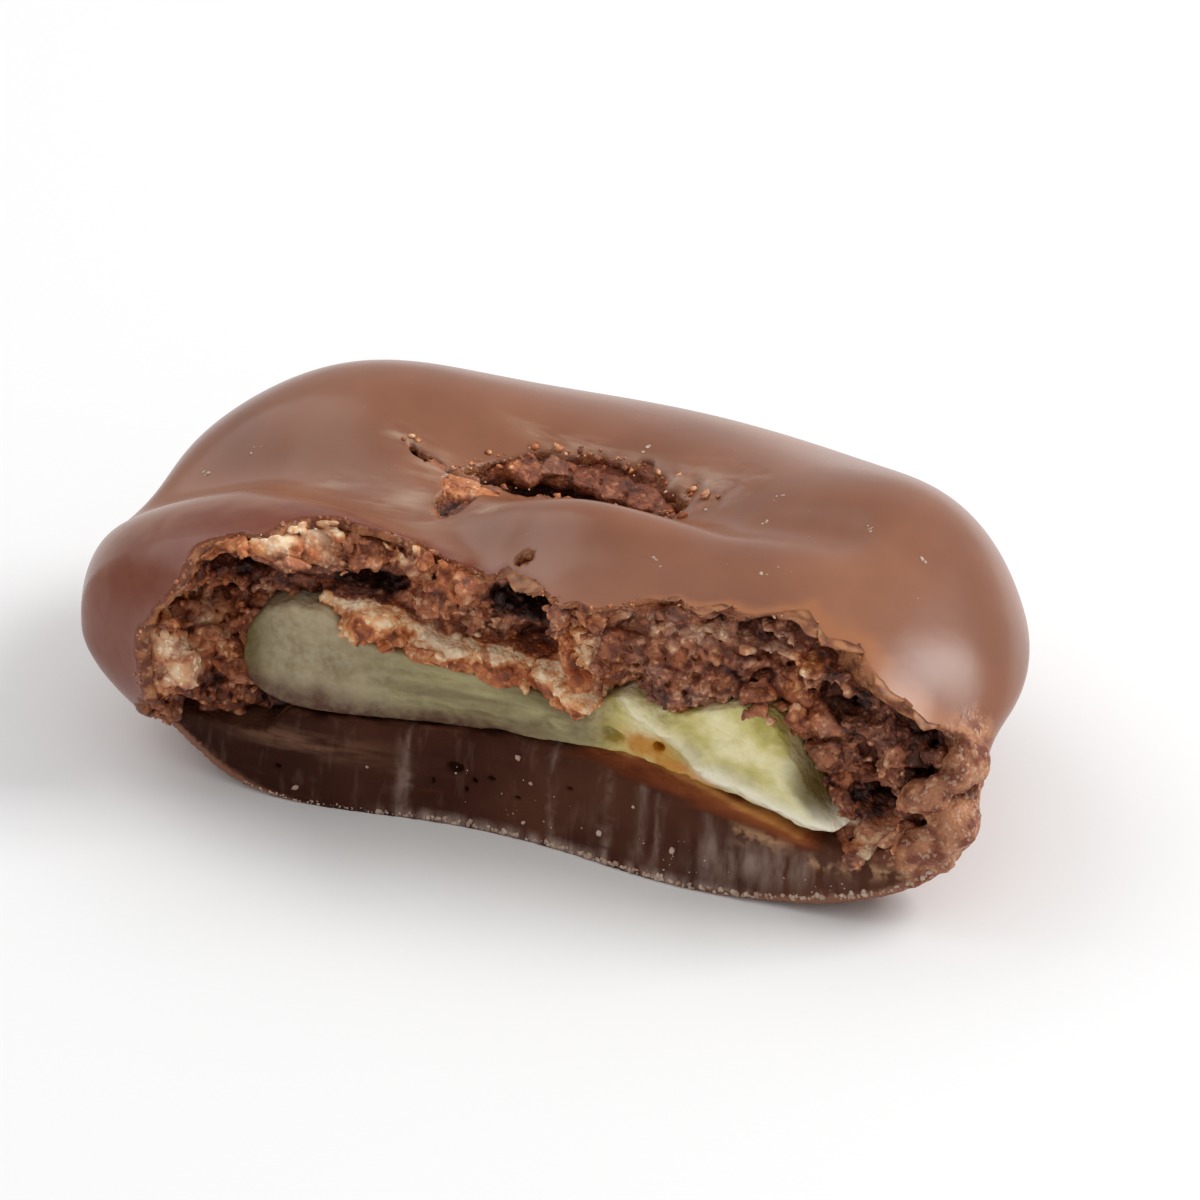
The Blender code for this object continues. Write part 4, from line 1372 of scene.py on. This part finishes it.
def flake_faces(first, count):
    """The faces of a flake whose points start at this number: both sides and all its edges."""
    steps, under = FLAKE_STEPS, count * FLAKE_STEPS
    faces = []
    for i in range(count - 1):
        for j in range(steps - 1):
            a = first + i * steps + j
            faces.append((a, a + 1, a + steps + 1, a + steps))
            faces.append((a + under, a + under + steps, a + under + steps + 1, a + under + 1))
        for j in (0, steps - 1):
            a, b = first + i * steps + j, first + (i + 1) * steps + j
            faces.append((a, b, b + under, a + under) if j else (b, a, a + under, b + under))
    for i in (0, count - 1):
        for j in range(steps - 1):
            a = first + i * steps + j
            faces.append((a + 1, a, a + under, a + under + 1) if i else (a, a + 1, a + under + 1, a + under))
    return faces


def make_flakes(material):
    """Thin curled flakes that the coating's torn lip ends in."""
    points, faces = [], []
    for number, flake in enumerate(RIM_FLAKES):
        added, count = flake_points(number, *flake)
        faces += flake_faces(len(points), count)
        points += added
    make_piece("lip_flakes", np.array(points), faces, material, "milk_chocolate")


def make_specks(name, find_spots, material, slot, seeds):
    """Broken crumbs or sugar specks: each spot is a place, the way out, a size and a flatness."""
    spots_rng, rng = map(np.random.default_rng, seeds)
    pattern = bmesh.new()
    bmesh.ops.create_icosphere(pattern, subdivisions=1, radius=1.0)
    corners = np.array([corner.co[:] for corner in pattern.verts])
    sides = [tuple(corner.index for corner in side.verts) for side in pattern.faces]
    pattern.free()
    points, faces, shades = [], [], []
    for place, way, size, flatness in find_spots(spots_rng):
        body = corners * rng.uniform(0.6, 1.25, (len(corners), 1)) * rng.uniform(0.7, 1.3, 3)
        body = body @ np.linalg.qr(rng.normal(0, 1, (3, 3)))[0]
        body = body - way * (body @ way)[:, None] * (1 - flatness)
        first = len(points)
        points.extend(place + size * body + way * size * flatness * 0.3)
        faces.extend(tuple(first + corner for corner in side) for side in sides)
        shades.extend([rng.random()] * len(corners))
    piece = make_piece(name, np.array(points), faces, material, slot)
    paint(piece, light=0.28 + 0.42 * np.array(shades), warm=np.array(shades)[::-1] * 0.6 + 0.4)


def on_skin(x, y):
    """The place on the upper skin over x and y, and the way out."""
    place = np.array((x, y, float(skin_height(x, y))))
    return place, skin_slope(*place[:, None])[0][0]


def on_cut_face(x, z, proud):
    """The place on the cut face of the base that stands out this little, and the way out."""
    return np.array((x, float(coat_front(x, z)) + proud, z)), FORWARD


def edge_height(x):
    """How high the lower edge of the base's cut face is here: it rises at its rounded right end."""
    heights = np.arange(0.0, 2.0, 0.02)
    inside = whole_chip(x, coat_front(x, heights) + 0.05, heights) < 0
    return float(heights[np.argmax(inside)]) if inside.any() else 2.0


def crumb_spots(rng):
    """Loose crumbs along the torn rim and round the fissure."""
    spots = []
    for low, high, count, large in RIM_CRUMBS:
        turns = rng.uniform(low, high, count)
        places, ways = rim_places(turns, -0.14 + np.minimum(rng.exponential(0.1, count), 0.3))
        sizes = SMALLEST_CRUMB + (large - SMALLEST_CRUMB) * rng.random(count) ** 2.2
        spots += [(place, way, size, 0.7) for place, way, size in zip(places, ways, sizes)]
    for line, count in LIP_CRUMBS:
        line = np.array(line)
        for _ in range(count):
            part = rng.integers(0, len(line) - 1)
            x, y = line[part] + (line[part + 1] - line[part]) * rng.random() + rng.normal(0, LIP_SCATTER, 2)
            spots.append((*on_skin(x, y), SMALLEST_CRUMB + 0.09 * rng.random() ** 2, 0.6))
    return spots + [(*on_skin(x, y), size, 0.5) for x, y, size in FISSURE_CRUMBS]


def sugar_spots(rng):
    """Pale specks: scuffs and dust on the skin, and frost on the cut face and along its lower edge,
    which at its left end also stands in as painted highlight of the edge.
    """
    spots = []
    for x, y in SCUFFS:
        turn = rng.uniform(0, math.pi)
        for _ in range(rng.integers(3, 6)):
            step = rng.normal(0, 0.16)
            at_x = x + step * math.cos(turn) + rng.normal(0, 0.05)
            at_y = y + step * math.sin(turn) + rng.normal(0, 0.05)
            spots.append((*on_skin(at_x, at_y), rng.uniform(0.03, 0.085), 0.2))
    for _ in range(SKIN_DUST):
        x, y = rng.uniform(-12, 12), rng.uniform(2.2, 12)
        spots.append((*on_skin(x, y), rng.uniform(0.01, 0.024), 0.4))
    spots += [(*on_cut_face(x, z, 0.03), size, 0.7) for x, z, size in FACE_SPECKS]
    for _ in range(FACE_DUST):
        x, z = rng.uniform(-3, 11), rng.uniform(0.3, 2.0)
        spots.append((*on_cut_face(x, z, 0.02), rng.uniform(0.015, 0.045), 0.7))
    # Frost along the lower edge; at the left end it also stands in as painted highlight of the edge.
    for _ in range(EDGE_FROST_AND_GLINT):
        x, z = rng.uniform(-9.5, 13.5), 0.02 + 0.12 * rng.random() ** 1.5
        thick = smooth_step(-6.0, -2.0, x)
        size = rng.uniform(0.02, 0.06 + 0.05 * thick)
        kept = rng.random() < 0.6 + 0.4 * thick
        place, way = on_cut_face(x, z + size + edge_height(x), 0.03)
        if kept and whole_chip(place[0], place[1] + 0.05, place[2]) < 0:
            spots.append((place, way, size, 0.8))
    return spots


def add(tree, kind, inputs=None, **settings):
    """A node with these settings, and its inputs linked or given a value by name or number."""
    made = tree.nodes.new(kind)
    for key, value in settings.items():
        setattr(made, key, value)
    for name, value in (inputs or {}).items():
        if isinstance(value, bpy.types.NodeSocket):
            tree.links.new(value, made.inputs[name])
        else:
            made.inputs[name].default_value = value
    return made


def math_of(tree, operation, *values):
    """The result of this operation on the values."""
    return add(tree, "ShaderNodeMath", dict(enumerate(values)), operation=operation).outputs[0]


def times(tree, a, b):
    """The two values multiplied."""
    return math_of(tree, "MULTIPLY", a, b)


def mix_colours(tree, share, under, over):
    """The colour under with the colour over laid on it by this share."""
    under, over = ((*colour, 1) if isinstance(colour, tuple) else colour for colour in (under, over))
    return add(tree, "ShaderNodeMix", {0: share, 6: under, 7: over}, data_type="RGBA").outputs[2]


def lay_over(tree, colour, *layers):
    """The colour with each layer's colour laid on it in turn, by the layer's share."""
    for share, laid in layers:
        colour = mix_colours(tree, share, colour, laid)
    return colour


def ramp(tree, value, stops):
    """The colour for this value: the stops' colours, blended from each to the next."""
    made = add(tree, "ShaderNodeValToRGB", {"Fac": value})
    elements = made.color_ramp.elements
    while len(elements) < len(stops):
        elements.new(0.5)
    for element, (place, colour) in zip(elements, stops):
        element.position = place
        element.color = (*colour, 1)
    return made.outputs["Color"]


def stretch_range(tree, value, low, high, to_low=0.0, to_high=1.0):
    """The value moved from the first range to the second, and kept inside it."""
    ranges = {"Value": value, "From Min": low, "From Max": high, "To Min": to_low, "To Max": to_high}
    return add(tree, "ShaderNodeMapRange", ranges).outputs["Result"]


def mask(tree, name):
    """The numbers that the piece keeps under this name."""
    return add(tree, "ShaderNodeAttribute", attribute_name=name).outputs["Fac"]


def shown(tree, name, pattern, low, high, strength=1.0):
    """The mask of this name where the pattern is strong."""
    return times(tree, mask(tree, name), stretch_range(tree, pattern, low, high, 0.0, strength))


def new_group(name, takes, gives):
    """A node group with named inputs, each with its usual value, and named number outputs."""
    tree = bpy.data.node_groups.new(name, "ShaderNodeTree")
    for socket, value in takes.items():
        kind = "NodeSocketVector" if isinstance(value, tuple) else "NodeSocketFloat"
        tree.interface.new_socket(socket, in_out="INPUT", socket_type=kind).default_value = value
    for socket in gives:
        tree.interface.new_socket(socket, in_out="OUTPUT", socket_type="NodeSocketFloat")
    return tree, tree.nodes.new("NodeGroupInput").outputs, tree.nodes.new("NodeGroupOutput").inputs


def make_mottle_group():
    """Soft clouding: patches of this scale, from 0 to 1."""
    tree, takes, gives = new_group("mottle", {"Scale": 200.0, "Contrast": 1.0}, ("Cloud",))
    place = add(tree, "ShaderNodeTexCoord").outputs["Object"]
    noise = add(tree, "ShaderNodeTexNoise", {"Vector": place, "Scale": takes["Scale"], "Detail": 3.0})
    centred = math_of(tree, "SUBTRACT", noise.outputs[0], 0.5)
    scaled = times(tree, centred, times(tree, takes["Contrast"], 2.0))
    value = math_of(tree, "ADD", scaled, 0.5)
    tree.links.new(add(tree, "ShaderNodeClamp", {"Value": value}).outputs[0], gives["Cloud"])


def make_grain_group():
    """Fine broken grain: a height for bump, and a speckle that is 1 on the palest grains."""
    tree, takes, gives = new_group("grain", {"Scale": 6000.0, "Speckle": 0.3}, ("Height", "Speckle"))
    place = add(tree, "ShaderNodeTexCoord").outputs["Object"]
    cells = add(tree, "ShaderNodeTexVoronoi", {"Vector": place, "Scale": takes["Scale"]})
    dust = add(tree, "ShaderNodeTexNoise", {"Vector": place, "Scale": takes["Scale"], "Detail": 4.0})
    rise = math_of(tree, "SUBTRACT", dust.outputs[0], times(tree, cells.outputs["Distance"], 0.6))
    tree.links.new(rise, gives["Height"])
    pick = add(tree, "ShaderNodeSeparateColor", {"Color": cells.outputs["Color"]}).outputs[0]
    edge = math_of(tree, "SUBTRACT", 1.0, takes["Speckle"])
    tree.links.new(math_of(tree, "GREATER_THAN", pick, edge), gives["Speckle"])


def make_streak_group():
    """Fine streaks from 0 to 1, this many to a metre along each direction."""
    tree, takes, gives = new_group("streaks", {"Fineness": (500.0, 500.0, 3200.0)}, ("Streak",))
    place = add(tree, "ShaderNodeTexCoord").outputs["Object"]
    drawn = add(tree, "ShaderNodeMapping", {"Vector": place, "Scale": takes["Fineness"]}).outputs[0]
    noise = add(tree, "ShaderNodeTexNoise", {"Vector": drawn, "Scale": 1.0, "Detail": 4.0})
    tree.links.new(noise.outputs[0], gives["Streak"])


def effect(tree, name, **values):
    """The outputs of the node group of this name, placed in the material with these values."""
    return add(tree, "ShaderNodeGroup", values, node_tree=bpy.data.node_groups[name]).outputs


def cloud(tree, scale, contrast):
    """Soft clouding from the mottle group."""
    return effect(tree, "mottle", Scale=scale, Contrast=contrast)["Cloud"]


def streaks(tree, *fineness):
    """Fine streaks from the streaks group."""
    return effect(tree, "streaks", Fineness=fineness)["Streak"]


def new_material(name, **shader_values):
    """A material with these values on its shader's own sockets."""
    made = bpy.data.materials.new(name)
    made.use_nodes = True
    shader = made.node_tree.nodes["Principled BSDF"]
    for socket, value in shader_values.items():
        shader.inputs[socket.replace("_", " ")].default_value = value
    return made, made.node_tree, shader


def connect(tree, shader, **values):
    """Links each value to the shader's socket of that name."""
    for socket, value in values.items():
        tree.links.new(value, shader.inputs[socket.replace("_", " ")])


def bump(tree, shader, height, distance):
    """Fine relief of the surface, this deep in metres."""
    made = add(tree, "ShaderNodeBump", {"Height": height, "Strength": 1.0, "Distance": distance})
    connect(tree, shader, Normal=made.outputs[0])


# Colours of the coating's skin. A pair goes from dark to light, and the pair for its orange-brown
# tint and painted shade from left to right, between these places along X in metres: the dark left
# colour is painted shade beside the bite.
SKIN = ((0.21, 0.075, 0.036), (0.295, 0.116, 0.058))
# The pale scuffs, which also paint the sheen of grazing highlights along the crease.
SCUFF_AND_SHEEN = (0.52, 0.36, 0.25)
STAIN_AND_SHADE = ((0.17, 0.03, 0.007), (0.36, 0.135, 0.052))
STAIN_AND_SHADE_TURNS = (-0.002, 0.006)
TORN = ((0.15, 0.036, 0.014), (0.42, 0.155, 0.055))
TORN_GRAIN = (0.6, 0.36, 0.18)
LUMPY = ((0.19, 0.045, 0.018), (0.47, 0.2, 0.095))
# Pale grains of the lumpy broken end, which also stand in as painted glints.
LUMPY_GRAIN_AND_GLINT = (0.7, 0.48, 0.33)
# The cut face where the skin's material meets it: dark chocolate, painted darker as shade.
SHADED_CUT_UNDER_SKIN = (0.055, 0.019, 0.01)


def chocolate_material():
    """The smooth skin of the coating, with its orange-brown tint and painted shade by the bite and its
    pale scuffs and painted sheen, and its torn edges in orange-brown with pale sugary grains, and
    pale grains and painted glints on its lumpy broken end.
    """
    made, tree, shader = new_material(
        "milk_chocolate", Subsurface_Weight=0.05, Subsurface_Scale=0.0006, Specular_IOR_Level=0.44
    )
    patches = cloud(tree, 1900.0, 2.4)
    fine = effect(tree, "grain", Scale=9000.0, Speckle=0.14)
    brushed = streaks(tree, 500.0, 2200.0, 1500.0)
    # The orange-brown tint behind the torn rim, with painted shade on the skin beside the bite at the left.
    stained_and_shaded = times(tree, mask(tree, "rim_stain"), stretch_range(tree, patches, 0.0, 1.0, 0.84, 0.98))
    place = add(tree, "ShaderNodeTexCoord").outputs["Object"]
    across = add(tree, "ShaderNodeSeparateXYZ", {"Vector": place}).outputs["X"]
    torn, lumpy = (
        mix_colours(tree, times(tree, fine["Speckle"], share), mix_colours(tree, patches, *tones), grain)
        for tones, grain, share in ((TORN, TORN_GRAIN, 0.35), (LUMPY, LUMPY_GRAIN_AND_GLINT, 0.4))
    )
    colour = lay_over(
        tree,
        mix_colours(tree, cloud(tree, 180.0, 1.5), *SKIN),
        # pale scuffs with painted sheen
        (shown(tree, "bloom", brushed, 0.42, 0.68), SCUFF_AND_SHEEN),
        (stained_and_shaded, mix_colours(tree, stretch_range(tree, across, *STAIN_AND_SHADE_TURNS), *STAIN_AND_SHADE)),
        (mask(tree, "broken"), torn),
        (mask(tree, "column"), lumpy),
        (mask(tree, "base_cut"), SHADED_CUT_UNDER_SKIN),
    )
    shine = stretch_range(tree, mask(tree, "broken"), 0.0, 1.0, 0.27, 0.55)
    connect(tree, shader, Base_Color=colour, Roughness=shine)
    height = times(tree, fine["Height"], mask(tree, "broken"))
    bump(tree, shader, math_of(tree, "MULTIPLY_ADD", cloud(tree, 750.0, 1.0), 0.08, height), 0.00007)
    return made


# Colours of the cut face of the base: its dark chocolate, painted darker still as the shade that
# the face lies in, and darker again at the left end as painted shade, what lies over it, and the
# caramel-coloured band under the banana.
CUT_AND_SHADE = ((0.044, 0.0105, 0.0045), (0.09, 0.03, 0.015))
LEFT_END_SHADE = (0.032, 0.0072, 0.003)
PALE_STREAK = (0.2, 0.12, 0.09)
SMEAR = (0.3, 0.2, 0.16)
STREAKY = (0.24, 0.12, 0.07)
CARAMEL = (
    (0.0, (0.06, 0.02, 0.01)), (0.35, (0.13, 0.03, 0.01)), (0.75, (0.26, 0.07, 0.02)),
    (1.0, (0.58, 0.25, 0.075)),
)
TAN = (0.4, 0.22, 0.12)
FROST = (0.45, 0.33, 0.27)
CUT_EDGE = (0.2, 0.075, 0.038)


def cut_material():
    """The dark cut face of the base, painted darker as shade: matt, finely streaked, with smears, frost
    and a caramel line.
    """
    made, tree, shader = new_material("cut_chocolate", Roughness=0.62, Specular_IOR_Level=0.1)
    upright, lying = streaks(tree, 2600.0, 2600.0, 500.0), streaks(tree, 500.0, 500.0, 3200.0)
    fine = effect(tree, "grain", Scale=7000.0, Speckle=0.12)
    caramel = math_of(tree, "ADD", mask(tree, "caramel"), math_of(tree, "MULTIPLY_ADD", lying, 0.7, -0.35))
    colour = lay_over(
        tree,
        mix_colours(tree, cloud(tree, 260.0, 1.6), *CUT_AND_SHADE),
        # painted shade, darker at the left end
        (mask(tree, "deep"), LEFT_END_SHADE),
        (stretch_range(tree, upright, 0.55, 0.8, 0.0, 0.35), PALE_STREAK),
        (shown(tree, "smear", upright, 0.35, 0.65, 0.6), SMEAR),
        (shown(tree, "streaky", lying, 0.4, 0.62, 0.8), STREAKY),
        (stretch_range(tree, caramel, 0.05, 0.3), ramp(tree, caramel, CARAMEL)),
        (shown(tree, "tan_line", cloud(tree, 1700.0, 2.4), 0.1, 0.65), TAN),
        (shown(tree, "frost", upright, 0.34, 0.62, 0.75), FROST),
    )
    connect(tree, shader, Base_Color=mix_colours(tree, mask(tree, "base_cut"), CUT_EDGE, colour))
    bump(tree, shader, math_of(tree, "ADD", upright, fine["Height"]), 0.00003)
    return made


# The crumb's colours from dark to light, where it is cool and where it is warm.
COOL_CRUMB = (
    (0.0, (0.026, 0.009, 0.006)), (0.3, (0.165, 0.06, 0.038)), (0.55, (0.41, 0.185, 0.115)),
    (0.8, (0.64, 0.42, 0.28)), (1.0, (0.86, 0.7, 0.52)),
)
WARM_CRUMB = (
    (0.0, (0.04, 0.0085, 0.004)), (0.3, (0.25, 0.058, 0.018)), (0.55, (0.55, 0.165, 0.05)),
    (0.8, (0.8, 0.39, 0.16)), (1.0, (0.95, 0.72, 0.46)),
)


def crumb_material():
    """Broken crumb, lighter and warmer by its masks, which also carry painted shade, with clouding and
    pale grains of its own.
    """
    made, tree, shader = new_material("crumbly_chocolate", Roughness=0.5, Specular_IOR_Level=0.4)
    patches = cloud(tree, 750.0, 1.6)
    fine = effect(tree, "grain", Scale=8000.0, Speckle=0.12)
    light = mask(tree, "light")
    for pattern, gain, offset in (
        (patches, 0.26, -0.13),
        (cloud(tree, 2600.0, 1.8), 0.2, -0.1),
        (fine["Speckle"], 0.2, 0.0),
    ):
        light = math_of(tree, "ADD", light, math_of(tree, "MULTIPLY_ADD", pattern, gain, offset))
    warm = math_of(tree, "ADD", mask(tree, "warm"), math_of(tree, "MULTIPLY_ADD", patches, -0.5, 0.25))
    warm = add(tree, "ShaderNodeClamp", {"Value": warm}).outputs[0]
    colour = mix_colours(tree, warm, ramp(tree, light, COOL_CRUMB), ramp(tree, light, WARM_CRUMB))
    connect(tree, shader, Base_Color=colour)
    bump(tree, shader, fine["Height"], 0.00006)
    return made


# The thin flakes' colours, from dark to light, and those of the sugar.
THIN = ((0.16, 0.052, 0.02), (0.38, 0.165, 0.068))
SUGAR = ((0.3, (0.4, 0.24, 0.17)), (0.85, (0.66, 0.52, 0.42)))


def flake_material():
    """The coating where it is as thin as a flake: golden brown, pale in patches, and a little clear."""
    made, tree, shader = new_material(
        "thin_chocolate",
        Roughness=0.42,
        Specular_IOR_Level=0.3,
        Subsurface_Weight=0.2,
        Subsurface_Scale=0.0004,
    )
    connect(tree, shader, Base_Color=mix_colours(tree, cloud(tree, 2200.0, 2.2), *THIN))
    return made


def sugar_material():
    """Pale sugar and chocolate dust."""
    made, tree, shader = new_material("pale_sugar", Roughness=0.5)
    connect(tree, shader, Base_Color=ramp(tree, mask(tree, "light"), SUGAR))
    return made


# Colours of the banana: dry and matt, its pale crumbs, wet and glassy, and its fibres, each from
# dark to light, then those of its masks.
DRY = ((0.265, 0.2, 0.1), (0.435, 0.345, 0.2))
DRY_CRUMBS = (0.48, 0.41, 0.28)
GLASSY = ((0.0, (0.44, 0.37, 0.07)), (0.5, (0.68, 0.59, 0.21)), (1.0, (0.9, 0.81, 0.47)))
FIBRES = ((0.2, 0.15, 0.06), (0.42, 0.37, 0.17))
# Dark olive: the flesh's own tint, and painted shade under the ledge and at the right tip.
OLIVE = (0.14, 0.1, 0.025)
BROWNED = (0.1, 0.036, 0.016)
AMBER = (0.56, 0.24, 0.018)
# White: the flesh's pale edge, and painted highlights of the wet flesh on it and on the ridge.
WHITE_AND_GLINT = (0.95, 0.88, 0.68)


def banana_material():
    """Banana flesh: grey-green and matt where dry, yellow and shiny where wet, with painted shade under
    the ledge and painted highlights on its white edge and ridge.
    """
    made, tree, shader = new_material(
        "banana", Subsurface_Weight=0.25, Subsurface_Scale=0.0006, Subsurface_Radius=(1.0, 0.7, 0.3)
    )
    crumbs = cloud(tree, 3200.0, 2.2)
    strand = stretch_range(tree, streaks(tree, 420.0, 420.0, 2400.0), 0.35, 0.65)
    browned = times(tree, mask(tree, "fringe"), stretch_range(tree, crumbs, 0.0, 1.0, 0.7, 1.0))
    colour = lay_over(
        tree,
        mix_colours(tree, cloud(tree, 700.0, 1.4), *DRY),
        (times(tree, crumbs, 0.5), DRY_CRUMBS),
        (mask(tree, "glassy"), ramp(tree, cloud(tree, 480.0, 2.2), GLASSY)),
        (times(tree, mask(tree, "fibre"), 0.8), mix_colours(tree, strand, *FIBRES)),
        (mask(tree, "olive"), OLIVE),
        (browned, BROWNED),
        (mask(tree, "amber"), AMBER),
        (mask(tree, "white_edge"), WHITE_AND_GLINT),
    )
    shine = stretch_range(tree, mask(tree, "glassy"), 0.0, 1.0, 0.65, 0.28)
    connect(tree, shader, Base_Color=colour, Roughness=shine)
    bump(tree, shader, effect(tree, "grain", Scale=4500.0, Speckle=0.2)["Height"], 0.00007)
    return made


# The photograph's viewing angle in degrees, and in metres the camera's distance, the width that it
# shows and how far from the middle of the chip it aims.
AZIMUTH = 22.8
ELEVATION = 30.6
DISTANCE = 0.42
SHOWN_WIDTH = 0.0375
AIM = (0, 0, -0.0004)
SENSOR = 36

# The pale surroundings and floor, and the lights: place, size and power. Both lights face the chip.
SURROUNDINGS = 0.62
FLOOR_HALF = 1
FLOOR_COLOUR = (0.9, 0.9, 0.9, 1)
LIGHTS = {
    "window_light": ((0.17, 0.095, 0.18), 0.125, 0.43),
    "left_light": ((-0.24, 0.05, 0.25), 0.26, 0.28),
}


def place_facing(piece, place, way):
    """Puts the camera or a light here, facing this way."""
    bpy.context.scene.collection.objects.link(piece)
    piece.location = place
    piece.rotation_mode = "QUATERNION"
    piece.rotation_quaternion = way.to_track_quat("-Z", "Y")


def make_camera():
    """The photograph's viewing angle, aimed at the middle of the chip."""
    low, high = CAD_BOX
    a, e = math.radians(AZIMUTH), math.radians(ELEVATION)
    back = Vector((math.sin(a) * math.cos(e), -math.cos(a) * math.cos(e), math.sin(e)))
    camera = bpy.data.objects.new("camera", bpy.data.cameras.new("camera"))
    place_facing(camera, (low + high) / 2 + Vector(AIM) + back * DISTANCE, -back)
    camera.data.sensor_width = SENSOR
    camera.data.lens = SENSOR * DISTANCE / SHOWN_WIDTH
    camera.data.clip_start, camera.data.clip_end = 0.01, 10
    bpy.context.scene.camera = camera


def make_stage():
    """A plain pale floor, pale surroundings and soft studio lights."""
    scene = bpy.context.scene
    scene.world = bpy.data.worlds.new("studio")
    scene.world.use_nodes = True
    background = scene.world.node_tree.nodes["Background"].inputs
    background["Color"].default_value = (1, 1, 1, 1)
    background["Strength"].default_value = SURROUNDINGS
    mesh = bpy.data.meshes.new("floor")
    corners = [(x * FLOOR_HALF, y * FLOOR_HALF, 0) for x, y in ((-1, -1), (1, -1), (1, 1), (-1, 1))]
    mesh.from_pydata(corners, [], [(0, 1, 2, 3)])
    floor = bpy.data.objects.new("floor", mesh)
    scene.collection.objects.link(floor)
    mesh.materials.append(new_material("pale_floor", Roughness=0.6, Base_Color=FLOOR_COLOUR)[0])
    for name, (place, size, power) in LIGHTS.items():
        light = bpy.data.lights.new(name, "AREA")
        light.size, light.energy = size, power
        place_facing(bpy.data.objects.new(name, light), place, -Vector(place))
    scene.view_settings.view_transform = "Standard"


def main():
    """The effects, the pieces from the coating inwards, the camera and the stage."""
    make_mottle_group()
    make_grain_group()
    make_streak_group()
    make_coat(chocolate_material(), cut_material())
    crumb = crumb_material()
    make_crumb(crumb)
    make_fissure_crumb(crumb)
    make_flakes(flake_material())
    make_specks("loose_crumbs", crumb_spots, crumb, "crumbly_chocolate", CRUMB_SEEDS)
    make_specks("sugar_specks", sugar_spots, sugar_material(), "milk_chocolate", SUGAR_SEEDS)
    make_banana(banana_material())
    make_camera()
    make_stage()


main()
